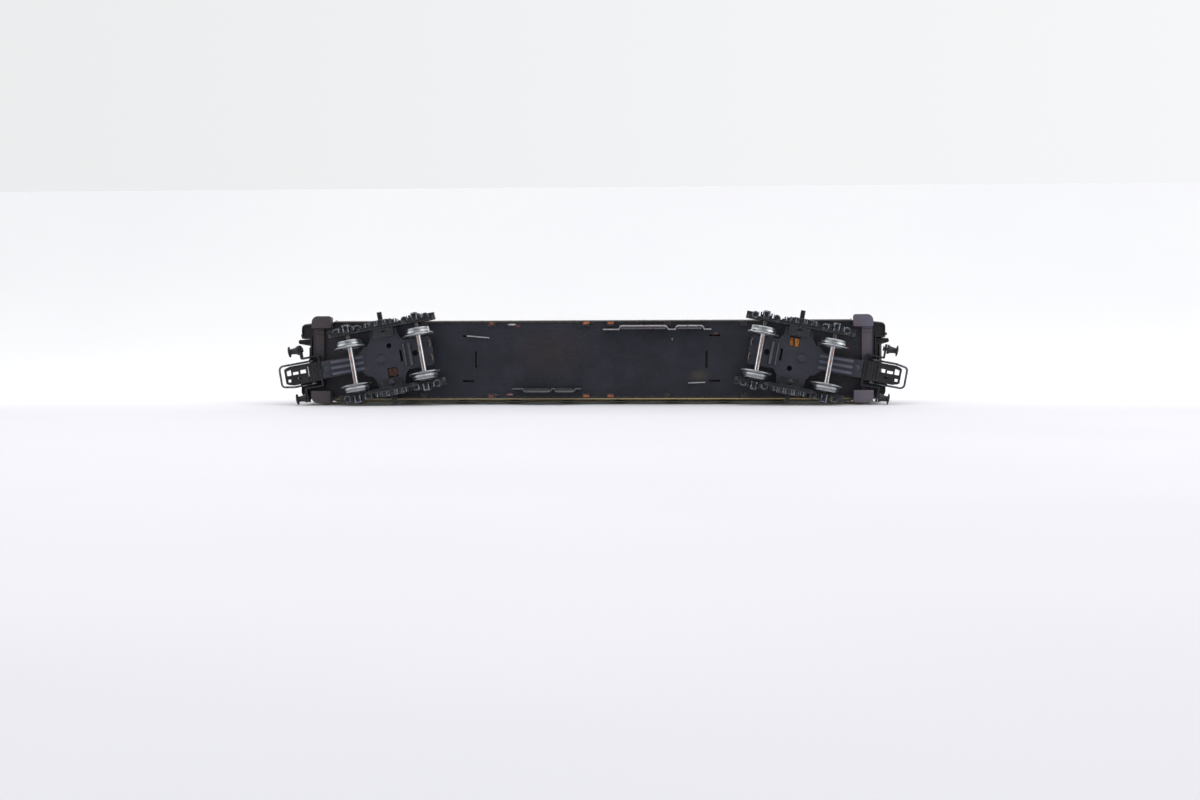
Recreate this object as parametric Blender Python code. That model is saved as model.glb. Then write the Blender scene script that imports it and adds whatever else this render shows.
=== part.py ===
"""H0 scale tin-plate passenger coach with two swivelling bogies, free wheelsets and hook-and-bow couplers.

Metres, +Z up, +X along the coach, z = 0 under the wheel flanges, origin midway between the coach's ends.
The bogies stand turned on their king pins, as they do when the coach is picked up and laid down.
"""

import math

import bmesh
import bpy
from mathutils import Matrix, Vector

MM = 0.001
GAP = 0.3 * MM  # between neighbouring pieces that touch on the real coach

# Wheelsets
AXLE_Z = 6.2 * MM
TREAD_RADIUS = 5.0 * MM
FLANGE_RADIUS = 6.2 * MM
WHEEL_INNER_V = 7.2 * MM
WHEEL_WIDTH = 3.0 * MM
WHEEL_BORE = 1.05 * MM
AXLE_RADIUS = 1.0 * MM
AXLE_SEAT_RADIUS = 0.75 * MM
AXLE_HALF_LENGTH = 13.2 * MM
SIDE_PLAY = 0.9 * MM  # the coach lies on its +Y side, so every wheelset has slid that way
WHEEL_SEGMENTS = 20

# Bogies: u runs from the king pin towards the coach's end, v across, both in the bogie's own frame
PIVOT_X = 82.3 * MM
SWIVEL_A_DEG = 180.0 - 10.2
SWIVEL_B_DEG = 10.5
WHEELBASE = 27.4 * MM
BOGIE_MIDDLE_U = -2.7 * MM
PLATE_Z = (8.2 * MM, 8.8 * MM)
KING_HOLE_RADIUS = 1.6 * MM
FRAME_INNER_V = 11.6 * MM
FRAME_OUTER_V = 13.0 * MM
FRAME_HALF_LENGTH = 21.5 * MM
SPRING_RADIUS = 1.45 * MM
SPRING_V = 13.3 * MM
PEG_TIP_V = 18.2 * MM

# Drawbar end: buffer beam, buffers, coupler
BEAM_BACK_U = 24.2 * MM
BEAM_WING_U = 31.0 * MM
BEAM_Z = (8.6 * MM, 12.7 * MM)
BEAM_SHEET = 0.6 * MM
BEAM_POCKET_V = 6.0 * MM
BEAM_TIP_V = 11.3 * MM
BUFFER_V = 9.5 * MM
BUFFER_Z = 10.5 * MM
BUFFER_HEAD_RADIUS = 2.2 * MM
BUFFER_TIP_U = 36.3 * MM
COUPLER_PIN_U = 28.0 * MM
COUPLER_Z = 10.8 * MM
COUPLER_HALF_WIDTH = 3.8 * MM
CAGE_WINDOWS = (  # (u from, u to, v from, v to), v counted towards the coach's -Y side
    (30.4, 32.7, 0.2, 1.6),
    (33.4, 35.7, 0.2, 1.3),
    (36.3, 38.1, 0.2, 2.4),
    (32.5, 34.0, -1.9, -1.1),
    (36.8, 38.0, -2.4, -1.3),
)
BOW_V = 4.5 * MM
BOW_TIP_U = 41.4 * MM
BOW_WIRE_RADIUS = 0.42 * MM

# Body
BODY_END_X = 115.0 * MM
RECESS_X = 111.5 * MM
RECESS_Y = 8.6 * MM
BODY_HALF_WIDTH = 15.65 * MM
WALL_SHEET = 0.5 * MM
WALL_BOTTOM_Z = 13.9 * MM
WALL_TOP_Z = 37.7 * MM
ROLLED_EDGE = (0.6 * MM, 1.4 * MM)  # the walls' lower edge comes in by the first over the second
LEAN_IN = 0.45 * MM  # how far the walls lean in between the waist and the roof
WAIST_Z = 22.0 * MM
FLOOR_Z = (14.2 * MM, 14.8 * MM)
FLOOR_HALF_WIDTH = 14.45 * MM
FLOOR_HALF_LENGTH = 110.6 * MM
ROOF_BOTTOM_Z = 38.0 * MM
ROOF_TOP_Z = 47.0 * MM
ROOF_HALF_WIDTH = 15.7 * MM
ROOF_SHEET = 0.8 * MM
VENT_COUNT = 6
VENT_PITCH = 32.0 * MM
VENT_Y = 4.5 * MM
WINDOW_SIZE = (15.5 * MM, 10.0 * MM)
WINDOW_MIDDLE_Z = 28.6 * MM
WINDOW_PITCH = 21.0 * MM
WINDOW_COUNT = 9
SMALL_WINDOW = (5.0 * MM, 10.0 * MM)
SMALL_WINDOW_X = 97.0 * MM
TAB_X = tuple(x * MM for x in (-66.0, -39.0, -2.0, 7.6, 30.0, 60.0))

# Under the floor
STEP_X = (102.4 * MM, 110.0 * MM)
STEP_Y = (12.4 * MM, 17.1 * MM)
STEP_Z = (8.5 * MM, 13.6 * MM)
SILL_X = (105.8 * MM, 109.8 * MM)
SILL_Z = (13.0 * MM, 13.6 * MM)
SKIRT_Z = (7.6 * MM, 13.9 * MM)
SKIRT_SHALLOW_Z = 10.6 * MM
SKIRT_Y = 11.6 * MM
SKIRT_BULGE = 1.2 * MM
SKIRT_SHEET = 0.5 * MM

# Ends
GANGWAY_X = (111.8 * MM, 116.5 * MM)
GANGWAY_CROWN_X = 113.6 * MM  # the bellows falls back to this towards its crown
GANGWAY_Y = 7.3 * MM
GANGWAY_THICKNESS = 1.8 * MM
GANGWAY_Z = (14.8 * MM, 36.2 * MM)
END_DOOR_HALF_WIDTH = 5.2 * MM
END_DOOR_X = (111.8 * MM, 112.2 * MM)

PALETTE = {
    "tin_black": ((0.022, 0.024, 0.03), 0.45, 0.2),
    "bogie_black": ((0.016, 0.018, 0.022), 0.5, 0.1),
    "wheel_nickel": ((0.62, 0.62, 0.6), 0.3, 1.0),
    "axle_steel": ((0.7, 0.66, 0.6), 0.2, 1.0),
    "coach_green": ((0.03, 0.065, 0.045), 0.4, 0.0),
    "roof_grey": ((0.16, 0.17, 0.17), 0.55, 0.0),
    "step_brown": ((0.06, 0.045, 0.04), 0.6, 0.0),
    "gangway_rubber": ((0.012, 0.012, 0.014), 0.7, 0.0),
    "worn_tin": ((0.4, 0.4, 0.42), 0.35, 0.9),
    "glazing_clear": ((0.75, 0.8, 0.8), 0.1, 0.0),
}


# ---------------------------------------------------------------- helpers


def clear_scene():
    for old in list(bpy.data.objects):
        bpy.data.objects.remove(old, do_unlink=True)


def make_materials():
    made = {}
    for name, (colour, roughness, metallic) in PALETTE.items():
        material = bpy.data.materials.new(name)
        material.use_nodes = True
        shader = material.node_tree.nodes["Principled BSDF"]
        shader.inputs["Base Color"].default_value = (*colour, 1.0)
        shader.inputs["Roughness"].default_value = roughness
        shader.inputs["Metallic"].default_value = metallic
        made[name] = material
    return made


def add_box(bm, low, high):
    """A box between two corners."""
    corners = [
        bm.verts.new((x, y, z))
        for x in (low[0], high[0])
        for y in (low[1], high[1])
        for z in (low[2], high[2])
    ]
    for quad in ((0, 1, 3, 2), (4, 6, 7, 5), (0, 4, 5, 1), (2, 3, 7, 6), (0, 2, 6, 4), (1, 5, 7, 3)):
        bm.faces.new([corners[i] for i in quad])


def add_prism(bm, outline, low, high, matrix=None):
    """A plan outline of (x, y) points raised from z = low to z = high, then moved by matrix."""
    matrix = matrix or Matrix()
    rings = [[bm.verts.new(matrix @ Vector((x, y, z))) for x, y in outline] for z in (low, high)]
    bm.faces.new(rings[0])
    bm.faces.new(list(reversed(rings[1])))
    bridge(bm, rings[0], rings[1])


def bridge(bm, ring_a, ring_b):
    """Side faces between two closed rings of as many points."""
    count = len(ring_a)
    for i in range(count):
        j = (i + 1) % count
        bm.faces.new((ring_a[i], ring_a[j], ring_b[j], ring_b[i]))


def add_turned(bm, profile, segments, matrix=None):
    """A profile of (radius, height) points turned round local Z. Radius 0 is a pole; an open profile
    whose ends are off the axis gets flat end faces."""
    matrix = matrix or Matrix()
    rings = []
    for radius, height in profile:
        if radius == 0:
            rings.append([bm.verts.new(matrix @ Vector((0, 0, height)))])
            continue
        angles = (2 * math.pi * i / segments for i in range(segments))
        rings.append(
            [bm.verts.new(matrix @ Vector((radius * math.cos(a), radius * math.sin(a), height))) for a in angles]
        )
    for ring_a, ring_b in zip(rings, rings[1:]):
        if len(ring_a) == 1 or len(ring_b) == 1:
            pole, ring = (ring_a[0], ring_b) if len(ring_a) == 1 else (ring_b[0], ring_a)
            for i in range(segments):
                bm.faces.new((pole, ring[i], ring[(i + 1) % segments]))
        else:
            bridge(bm, ring_a, ring_b)
    for ring in (rings[0], rings[-1]):
        if len(ring) > 1:
            bm.faces.new(ring)


def add_turned_ring(bm, profile, segments, matrix=None):
    """A closed profile of (radius, height) points turned round local Z into a ring with a hole."""
    matrix = matrix or Matrix()
    rings = []
    for radius, height in profile:
        angles = (2 * math.pi * i / segments for i in range(segments))
        rings.append(
            [bm.verts.new(matrix @ Vector((radius * math.cos(a), radius * math.sin(a), height))) for a in angles]
        )
    for i, ring in enumerate(rings):
        bridge(bm, ring, rings[(i + 1) % len(rings)])


def add_swept(bm, path, up, section):
    """A section of (across, up) points carried along a flat open path, mitred at the corners."""
    up = Vector(up).normalized()
    points = [Vector(p) for p in path]
    rings = []
    for i, point in enumerate(points):
        before = (point - points[max(i - 1, 0)]).normalized() if i else None
        after = (points[i + 1] - point).normalized() if i + 1 < len(points) else None
        tangent = ((before or after) + (after or before)).normalized()
        mitre = 1.0 / max(0.3, tangent.dot(after or before))
        across = tangent.cross(up)
        rings.append([bm.verts.new(point + across * a * mitre + up * b) for a, b in section])
    bm.faces.new(rings[0])
    bm.faces.new(rings[-1])
    for ring_a, ring_b in zip(rings, rings[1:]):
        bridge(bm, ring_a, ring_b)


def circle_section(radius, sides):
    return [
        (radius * math.cos(2 * math.pi * i / sides), radius * math.sin(2 * math.pi * i / sides))
        for i in range(sides)
    ]


def rectangle_section(across, low, high):
    return [(-across / 2, low), (across / 2, low), (across / 2, high), (-across / 2, high)]


def rounded_rectangle(width, height, radius, corner_steps=3):
    """Outline of a rectangle round the origin with round corners."""
    points = []
    for quadrant in range(4):
        sign_x = 1 if quadrant in (0, 3) else -1
        sign_y = 1 if quadrant in (0, 1) else -1
        for step in range(corner_steps + 1):
            angle = math.pi / 2 * (quadrant + step / corner_steps)
            points.append(
                (
                    sign_x * (width / 2 - radius) + radius * math.cos(angle),
                    sign_y * (height / 2 - radius) + radius * math.sin(angle),
                )
            )
    return points


def mirrored_outline(half):
    """Closes a half outline, given from one end to the other at y >= 0, with its mirror at y < 0."""
    return half + [(x, -y) for x, y in reversed(half) if y > 0]


def along_y(at):
    """Carries local Z to +Y and local Y to -Z, at a point."""
    return Matrix.Translation(at) @ Matrix.Rotation(-math.pi / 2, 4, "X")


def along_x(at):
    """Carries local Z to +X, at a point."""
    return Matrix.Translation(at) @ Matrix.Rotation(math.pi / 2, 4, "Y")


def upright_along_y(at):
    """Carries local Z to -Y and local Y to +Z, at a point, for outlines drawn in X and Z."""
    return Matrix.Translation(at) @ Matrix.Rotation(math.pi / 2, 4, "X")


def upright_along_x(at):
    """Carries local X to Y, local Y to Z and local Z to X, at a point, for outlines drawn in Y and Z."""
    return Matrix.Translation(at) @ Matrix(((0, 0, 1, 0), (1, 0, 0, 0), (0, 1, 0, 0), (0, 0, 0, 1)))


def make_object(name, draw, material=None, parent=None, smooth_deg=None):
    """Makes an object from a function that draws into a bmesh."""
    bm = bmesh.new()
    draw(bm)
    bmesh.ops.recalc_face_normals(bm, faces=bm.faces)
    mesh = bpy.data.meshes.new(name)
    bm.to_mesh(mesh)
    bm.free()
    if smooth_deg is not None:
        mesh.shade_smooth()
        mesh.set_sharp_from_angle(angle=math.radians(smooth_deg))
    item = bpy.data.objects.new(name, mesh)
    bpy.context.scene.collection.objects.link(item)
    if material is not None:
        mesh.materials.append(material)
    item.parent = parent
    return item


def combine(item, name, draw, operation):
    """Adds a Boolean with a helper solid, which stays hidden."""
    helper = make_object(name, draw, parent=item)
    helper.hide_render = True
    helper.hide_viewport = False
    helper.display_type = "WIRE"
    modifier = item.modifiers.new(name, "BOOLEAN")
    modifier.operation = operation
    modifier.solver = "EXACT"
    modifier.object = helper


def make_pivot(name, location, heading_deg=0.0):
    pivot = bpy.data.objects.new(name, None)
    bpy.context.scene.collection.objects.link(pivot)
    pivot.location = location
    pivot.rotation_euler = (0, 0, math.radians(heading_deg))
    pivot.empty_display_size = 10 * MM
    return pivot


# ---------------------------------------------------------------- body


def body_quadrant(half_width, shrink):
    """The body's plan outline in one quadrant, from the middle of the side to the middle of the end.
    shrink moves every wall inwards."""
    w = half_width - shrink
    end = BODY_END_X - shrink
    corner = 14.5 * MM - shrink - (BODY_HALF_WIDTH - half_width) * 0.5
    radius = 1.6 * MM - shrink
    points = [(0, w), (101.8 * MM, w), (102.8 * MM, w - 0.4 * MM), (110.0 * MM, w - 0.7 * MM)]
    for step in range(5):
        angle = math.pi / 2 * (1 - step / 4)
        points.append((end - radius + radius * math.cos(angle), corner - radius + radius * math.sin(angle)))
    recess_y = RECESS_Y + shrink
    return points + [(end, recess_y), (RECESS_X - shrink, recess_y), (RECESS_X - shrink, 0)]


def body_outline(half_width, shrink=0.0):
    """The whole plan outline of the body, running round all four quadrants."""
    quadrant = body_quadrant(half_width, shrink)
    right = list(quadrant)
    back = [(x, -y) for x, y in reversed(quadrant[:-1])]
    left = [(-x, -y) for x, y in quadrant[1:]]
    front = [(-x, y) for x, y in reversed(quadrant[1:-1])]
    return right + back + left + front


def wall_half_width(z):
    """The walls roll in at their lower edge and lean in a little above the waist."""
    rolled, height = ROLLED_EDGE
    edge = max(0.0, 1.0 - (z - WALL_BOTTOM_Z) / height)
    lean = max(0.0, (z - WAIST_Z) / (WALL_TOP_Z - WAIST_Z))
    return BODY_HALF_WIDTH - rolled * edge * edge - LEAN_IN * lean


def draw_body_walls(bm):
    levels = [WALL_BOTTOM_Z + ROLLED_EDGE[1] * share for share in (0.0, 0.45, 1.0)] + [WAIST_Z, WALL_TOP_Z]
    outer, inner = [], []
    for z in levels:
        half = wall_half_width(z)
        outer.append([bm.verts.new((x, y, z)) for x, y in body_outline(half)])
        inner.append([bm.verts.new((x, y, z)) for x, y in body_outline(half, WALL_SHEET)])
    for rings in (outer, inner):
        for ring_a, ring_b in zip(rings, rings[1:]):
            bridge(bm, ring_a, ring_b)
    bridge(bm, outer[0], inner[0])
    bridge(bm, outer[-1], inner[-1])


def draw_window_cutters(bm):
    reach = 20 * MM
    main = rounded_rectangle(*WINDOW_SIZE, 1.2 * MM, 1)
    small = rounded_rectangle(*SMALL_WINDOW, 1.0 * MM, 1)
    first = -WINDOW_PITCH * (WINDOW_COUNT - 1) / 2
    places = [(first + WINDOW_PITCH * i, main) for i in range(WINDOW_COUNT)]
    places += [(side * SMALL_WINDOW_X, small) for side in (-1, 1)]
    for x, outline in places:
        add_prism(bm, outline, -reach, reach, upright_along_y((x, 0, WINDOW_MIDDLE_Z)))


def draw_body_tabs(bm):
    """Lugs folded from the lower edge of the walls to under the floor plate."""
    wall = wall_half_width(WALL_BOTTOM_Z)
    low, high = WALL_BOTTOM_Z - 0.6 * MM, WALL_BOTTOM_Z
    for x in TAB_X:
        for side in (-1, 1):
            edges = sorted((side * 13.2 * MM, side * (wall - 0.1 * MM)))
            add_box(bm, (x - 1.3 * MM, edges[0], low), (x + 1.3 * MM, edges[1], high))
            edges = sorted((side * (wall - 0.5 * MM), side * (wall - 0.1 * MM)))
            add_box(bm, (x - 1.3 * MM, edges[0], high - 0.2 * MM), (x + 1.3 * MM, edges[1], high + 0.4 * MM))


def build_body(materials):
    shell = make_object("body_shell", draw_body_walls, materials["coach_green"])
    combine(shell, "window_openings", draw_window_cutters, "DIFFERENCE")
    combine(shell, "folded_tabs", draw_body_tabs, "UNION")
    shell.modifiers["folded_tabs"].use_self = True


def build_floor(materials):
    def draw(bm):
        right = [(101.4 * MM, FLOOR_HALF_WIDTH), (102.4 * MM, FLOOR_HALF_WIDTH - 0.7 * MM)]
        right += [(107.5 * MM, FLOOR_HALF_WIDTH - 1.0 * MM), (FLOOR_HALF_LENGTH - 0.2 * MM, 10.4 * MM)]
        right += [(FLOOR_HALF_LENGTH, RECESS_Y - 0.4 * MM), (FLOOR_HALF_LENGTH, 0)]
        half = [(-x, y) for x, y in reversed(right)] + right
        add_prism(bm, mirrored_outline(half), *FLOOR_Z)

    def draw_slots(bm):
        low, high = FLOOR_Z[0] - 1 * MM, FLOOR_Z[1] + 1 * MM
        for side in (-1, 1):
            cross, length = side * 45.4 * MM, side * 48.5 * MM
            add_box(bm, (cross - 0.5 * MM, -3.3 * MM, low), (cross + 0.5 * MM, 3.3 * MM, high))
            for y in (-9.4 * MM, 8.4 * MM):
                add_box(bm, (length - 2.2 * MM, y - 0.4 * MM, low), (length + 2.2 * MM, y + 0.4 * MM, high))
            hole = Matrix.Translation((side * PIVOT_X, 0, 0))
            add_turned(bm, [(1.5 * MM, low), (1.5 * MM, high)], 16, hole)

    floor = make_object("floor_plate", draw, materials["tin_black"])
    combine(floor, "floor_slots", draw_slots, "DIFFERENCE")


def arch(x, half_width, top, steps=12):
    """The roof's cross-section at x: full shoulders and a flatter top."""
    points = []
    for i in range(steps + 1):
        angle = math.pi * i / steps
        c, s = math.cos(angle), max(0.0, math.sin(angle))
        y = half_width * math.copysign(abs(c) ** 0.8, c)
        points.append((x, y, ROOF_BOTTOM_Z + (top - ROOF_BOTTOM_Z) * s**0.9))
    return points


def roof_stations(inset):
    """(x, half width, top) of the roof from the middle to one end, narrower over the doors."""
    end = BODY_END_X + 0.3 * MM
    full = ROOF_HALF_WIDTH
    stations = [(102.0 * MM, full, 0), (104.0 * MM, full - 0.2 * MM, 0)]
    stations += [(110.0 * MM, full - 0.4 * MM, 0.1 * MM), (end - 2.2 * MM, full - 1.0 * MM, 0.4 * MM)]
    stations += [(end - 0.6 * MM, full - 2.1 * MM, 0.9 * MM), (end, full - 3.0 * MM, 1.4 * MM)]
    return [(x * (end - inset) / end, w - inset, ROOF_TOP_Z - drop - inset) for x, w, drop in stations]


def draw_roof(bm):
    """A shell: outer and inner skins, gable ends, and a rim that joins the skins below."""
    skins = []
    for inset in (0.0, ROOF_SHEET):
        half = roof_stations(inset)
        stations = [(-x, w, top) for x, w, top in reversed(half)] + half
        rings = [[bm.verts.new(p) for p in arch(*station)] for station in stations]
        for ring_a, ring_b in zip(rings, rings[1:]):
            for i in range(len(ring_a) - 1):
                bm.faces.new((ring_a[i], ring_a[i + 1], ring_b[i + 1], ring_b[i]))
        bm.faces.new(rings[0])
        bm.faces.new(rings[-1])
        skins.append([ring[0] for ring in rings] + [ring[-1] for ring in reversed(rings)])
    bridge(bm, *skins)


def build_roof(materials):
    def draw_vents(bm):
        for i in range(VENT_COUNT):
            x = VENT_PITCH * (i - (VENT_COUNT - 1) / 2)
            y = VENT_Y if i % 2 else -VENT_Y
            foot = ROOF_TOP_Z - 0.7 * MM
            profile = [(0.9 * MM, 0), (0.9 * MM, 1.1 * MM), (1.7 * MM, 1.3 * MM), (1.2 * MM, 1.9 * MM)]
            profile += [(0, 2.1 * MM)]
            add_turned(bm, profile, 8, Matrix.Translation((x, y, foot)))

    roof = make_object("roof", draw_roof, materials["roof_grey"], smooth_deg=40)
    combine(roof, "roof_vents", draw_vents, "UNION")


def build_glazing(materials):
    for name, side in (("glazing_left", 1), ("glazing_right", -1)):

        def draw(bm, side=side):
            edges = sorted((side * 13.9 * MM, side * 14.3 * MM))
            add_box(bm, (-100.5 * MM, edges[0], 22.4 * MM), (100.5 * MM, edges[1], 34.8 * MM))

        make_object(name, draw, materials["glazing_clear"])


# ---------------------------------------------------------------- ends of the body


def build_steps(name, side, materials):
    """The cross-member under the floor and the two double steps under the doors."""

    def block_outline(hand):
        x0, x1 = STEP_X
        y0, y1 = STEP_Y
        radius = 2.4 * MM
        points = [(x0, y0), (x0, y1 - 0.5 * MM), (x0 + 0.5 * MM, y1)]
        for step in range(4):
            angle = math.pi / 2 * (1 - step / 3)
            points.append((x1 - radius + radius * math.cos(angle), y1 - radius + radius * math.sin(angle)))
        points.append((x1, y0))
        return [(side * x, hand * y) for x, y in points]

    def draw(bm):
        edges = sorted((side * SILL_X[0], side * SILL_X[1]))
        add_box(bm, (edges[0], -14.0 * MM, SILL_Z[0]), (edges[1], 14.0 * MM, SILL_Z[1]))

    unit = make_object(name, draw, materials["step_brown"])
    for hand in (-1, 1):
        label = "left" if hand > 0 else "right"

        def draw_block(bm, hand=hand):
            add_prism(bm, block_outline(hand), *STEP_Z)

        def draw_treads(bm, hand=hand):
            xs = sorted((side * (STEP_X[0] + 1.0 * MM), side * (STEP_X[1] - 1.0 * MM)))
            ys = sorted((hand * 14.6 * MM, hand * 18.0 * MM))
            for low, high in ((9.3 * MM, 10.7 * MM), (11.5 * MM, 12.8 * MM)):
                add_box(bm, (xs[0], ys[0], low), (xs[1], ys[1], high))

        combine(unit, f"{name}_{label}_block", draw_block, "UNION")
        combine(unit, f"{name}_{label}_treads", draw_treads, "DIFFERENCE")


def build_gangway(name, side, materials):
    """A rubber bellows: a round-nosed bar bent into an upright arch."""
    z0, z1 = GANGWAY_Z
    bend = 2.6 * MM

    def draw(bm):
        path = [(0, -GANGWAY_Y, z0)]
        for sign, start in ((-1, math.pi), (1, math.pi / 2)):
            for step in range(5):
                angle = start - math.pi / 2 * step / 4
                y = sign * (GANGWAY_Y - bend) + bend * math.cos(angle)
                path.append((0, y, z1 - bend + bend * math.sin(angle)))
        path.append((0, GANGWAY_Y, z0))
        half = GANGWAY_THICKNESS / 2
        nose = GANGWAY_X[1] - half
        section = [(-half, side * GANGWAY_X[0]), (half, side * GANGWAY_X[0])]
        for step in range(7):
            angle = math.pi * step / 6
            section.append((half * math.cos(angle), side * (nose + half * math.sin(angle))))
        add_swept(bm, path, (1, 0, 0), section)
        depth = GANGWAY_X[1] - GANGWAY_X[0]
        for vert in bm.verts:
            height = min(1.0, max(0.0, (vert.co.z - z0) / (z1 - bend - z0)))
            reach = depth - height * (GANGWAY_X[1] - GANGWAY_CROWN_X)
            vert.co.x = side * (GANGWAY_X[0] + (abs(vert.co.x) - GANGWAY_X[0]) * reach / depth)

    make_object(name, draw, materials["gangway_rubber"], smooth_deg=40)


def build_end_door(name, side, materials):
    def draw(bm):
        edges = sorted((side * END_DOOR_X[0], side * END_DOOR_X[1]))
        half = END_DOOR_HALF_WIDTH
        add_box(bm, (edges[0], -half, 15.2 * MM), (edges[1], half, 34.4 * MM))

    def draw_window(bm):
        outline = rounded_rectangle(6.0 * MM, 8.0 * MM, 1.0 * MM, 2)
        add_prism(bm, outline, -2 * MM, 2 * MM, upright_along_x((side * END_DOOR_X[0], 0, 28.0 * MM)))

    door = make_object(name, draw, materials["coach_green"])
    combine(door, f"{name}_window", draw_window, "DIFFERENCE")


# ---------------------------------------------------------------- under the floor


def build_skirt(name, side, start_x, stretches, materials):
    """A strip of tin bent round the battery boxes. stretches lists (length, is_box) from start_x on."""
    chamfer = SKIRT_BULGE
    path = [(start_x, side * SKIRT_Y, 0)]
    shallow = []
    x = start_x
    for length, is_box in stretches:
        if is_box:
            deep = side * (SKIRT_Y + SKIRT_BULGE)
            path += [(x, side * SKIRT_Y, 0), (x + chamfer, deep, 0)]
            path += [(x + length - chamfer, deep, 0), (x + length, side * SKIRT_Y, 0)]
        else:
            shallow.append((x, x + length))
        x += length
    path.append((x, side * SKIRT_Y, 0))
    distinct = [path[0]] + [b for a, b in zip(path, path[1:]) if a != b]

    def draw(bm):
        add_swept(bm, distinct, (0, 0, 1), rectangle_section(SKIRT_SHEET, *SKIRT_Z))

    def draw_notches(bm):
        margin = 0.5 * MM
        for x0, x1 in shallow:
            low = (x0 - margin, side * SKIRT_Y - 3 * MM, SKIRT_Z[0] - 1 * MM)
            high = (x1 + margin, side * SKIRT_Y + 3 * MM, SKIRT_SHALLOW_Z)
            add_box(bm, low, high)

    skirt = make_object(name, draw, materials["worn_tin"])
    combine(skirt, f"{name}_notches", draw_notches, "DIFFERENCE")


def build_floor_tab(name, x_range, y, lean, materials):
    """A lug bent down out of the floor, leaning a little."""

    def draw(bm):
        x0, x1 = (x * MM for x in x_range)
        half = 0.25 * MM
        outline = [(x0, y - half - lean), (x1, y - half + lean), (x1, y + half + lean), (x0, y + half - lean)]
        add_prism(bm, outline, 12.4 * MM, FLOOR_Z[0] - GAP)

    make_object(name, draw, materials["worn_tin"])


def build_king_pin(name, x, materials):
    """A rivet through floor and bogie plate, with a shoulder that the bogie turns against."""

    def draw(bm):
        profile = [(0, 7.1 * MM), (1.3 * MM, 7.2 * MM), (2.0 * MM, 7.85 * MM)]
        profile += [(1.2 * MM, 7.85 * MM), (1.2 * MM, 9.2 * MM), (3.2 * MM, 9.2 * MM)]
        profile += [(3.2 * MM, 13.9 * MM), (1.2 * MM, 13.9 * MM), (1.2 * MM, 15.1 * MM)]
        profile += [(2.2 * MM, 15.1 * MM), (1.6 * MM, 15.8 * MM), (0, 16.0 * MM)]
        add_turned(bm, profile, 12, Matrix.Translation((x, 0, 0)))

    make_object(name, draw, materials["bogie_black"], smooth_deg=40)


# ---------------------------------------------------------------- bogies


def bogie_plate_outline():
    mid = BOGIE_MIDDLE_U
    half = [(mid - 18.0 * MM, 0), (mid - 18.0 * MM, 4.0 * MM), (mid - 16.2 * MM, 5.8 * MM)]
    half += [(mid - 7.2 * MM, 5.8 * MM), (mid - 5.6 * MM, 8.2 * MM), (mid - 5.2 * MM, 11.2 * MM)]
    half += [(mid + 5.2 * MM, 11.2 * MM), (mid + 5.6 * MM, 8.2 * MM), (mid + 7.2 * MM, 5.8 * MM)]
    half += [(mid + 8.6 * MM, 5.8 * MM), (mid + 11.0 * MM, 3.4 * MM), (23.6 * MM, 3.4 * MM), (23.6 * MM, 0)]
    return mirrored_outline(half)


def build_bogie_plate(tag, pivot, materials):
    z0, z1 = PLATE_Z
    low, high = z0 - 3 * MM, z1 + 3 * MM
    mid = BOGIE_MIDDLE_U

    def draw(bm):
        add_prism(bm, bogie_plate_outline(), z0, z1)

    def draw_openings(bm):
        add_turned(bm, [(KING_HOLE_RADIUS, low), (KING_HOLE_RADIUS, high)], 20)
        for u, v, radius in ((mid - 1.3 * MM, 4.7 * MM, 1.05 * MM), (-13.7 * MM, 0, 1.2 * MM), (21.6 * MM, 0, 0.8 * MM)):
            add_turned(bm, [(radius, low), (radius, high)], 16, Matrix.Translation((u, v, 0)))
        for side in (-1, 1):
            place = Matrix.Translation((mid, side * 9.8 * MM, 0))
            add_turned(bm, [(0.8 * MM, low), (0.8 * MM, high)], 12, place)
        add_box(bm, (mid - 3.1 * MM, -7.9 * MM, low), (mid + 0.9 * MM, -3.9 * MM, high))
        add_box(bm, (mid - 5.9 * MM, -2.4 * MM, low), (mid - 4.9 * MM, 2.4 * MM, high))

    def draw_ribs(bm):
        for v in (-2.3 * MM, 0.0, 2.3 * MM):
            add_box(bm, (7.0 * MM, v - 0.45 * MM, z0 - 0.5 * MM), (20.0 * MM, v + 0.45 * MM, z0 + 0.2 * MM))
        for u in (mid - 7.0 * MM, mid - 9.2 * MM):
            add_box(bm, (u - 0.5 * MM, -4.4 * MM, z0 - 0.8 * MM), (u + 0.5 * MM, 4.4 * MM, z0 + 0.2 * MM))
        for side in (-1, 1):
            u, v = mid - 17.2 * MM, side * 2.6 * MM
            add_box(bm, (u - 0.3 * MM, v - 1.3 * MM, z0 - 1.6 * MM), (u + 0.3 * MM, v + 1.3 * MM, z0 + 0.2 * MM))

    plate = make_object(f"bogie_{tag}_plate", draw, materials["bogie_black"], pivot)
    combine(plate, f"plate_{tag}_ribs", draw_ribs, "UNION")
    combine(plate, f"plate_{tag}_openings", draw_openings, "DIFFERENCE")


def side_frame_outline():
    """The long frame in elevation, drawn along the bogie and upwards, from the bogie's middle."""
    right = [(8.5, 3.6), (10.4, 5.0), (20.6, 5.2), (21.5, 6.2), (21.5, 8.2), (19.6, 9.4), (10.0, 9.4)]
    right += [(7.6, 10.6)]
    right = [(x * MM, z * MM) for x, z in right]
    return right + [(-x, z) for x, z in reversed(right)]


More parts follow.
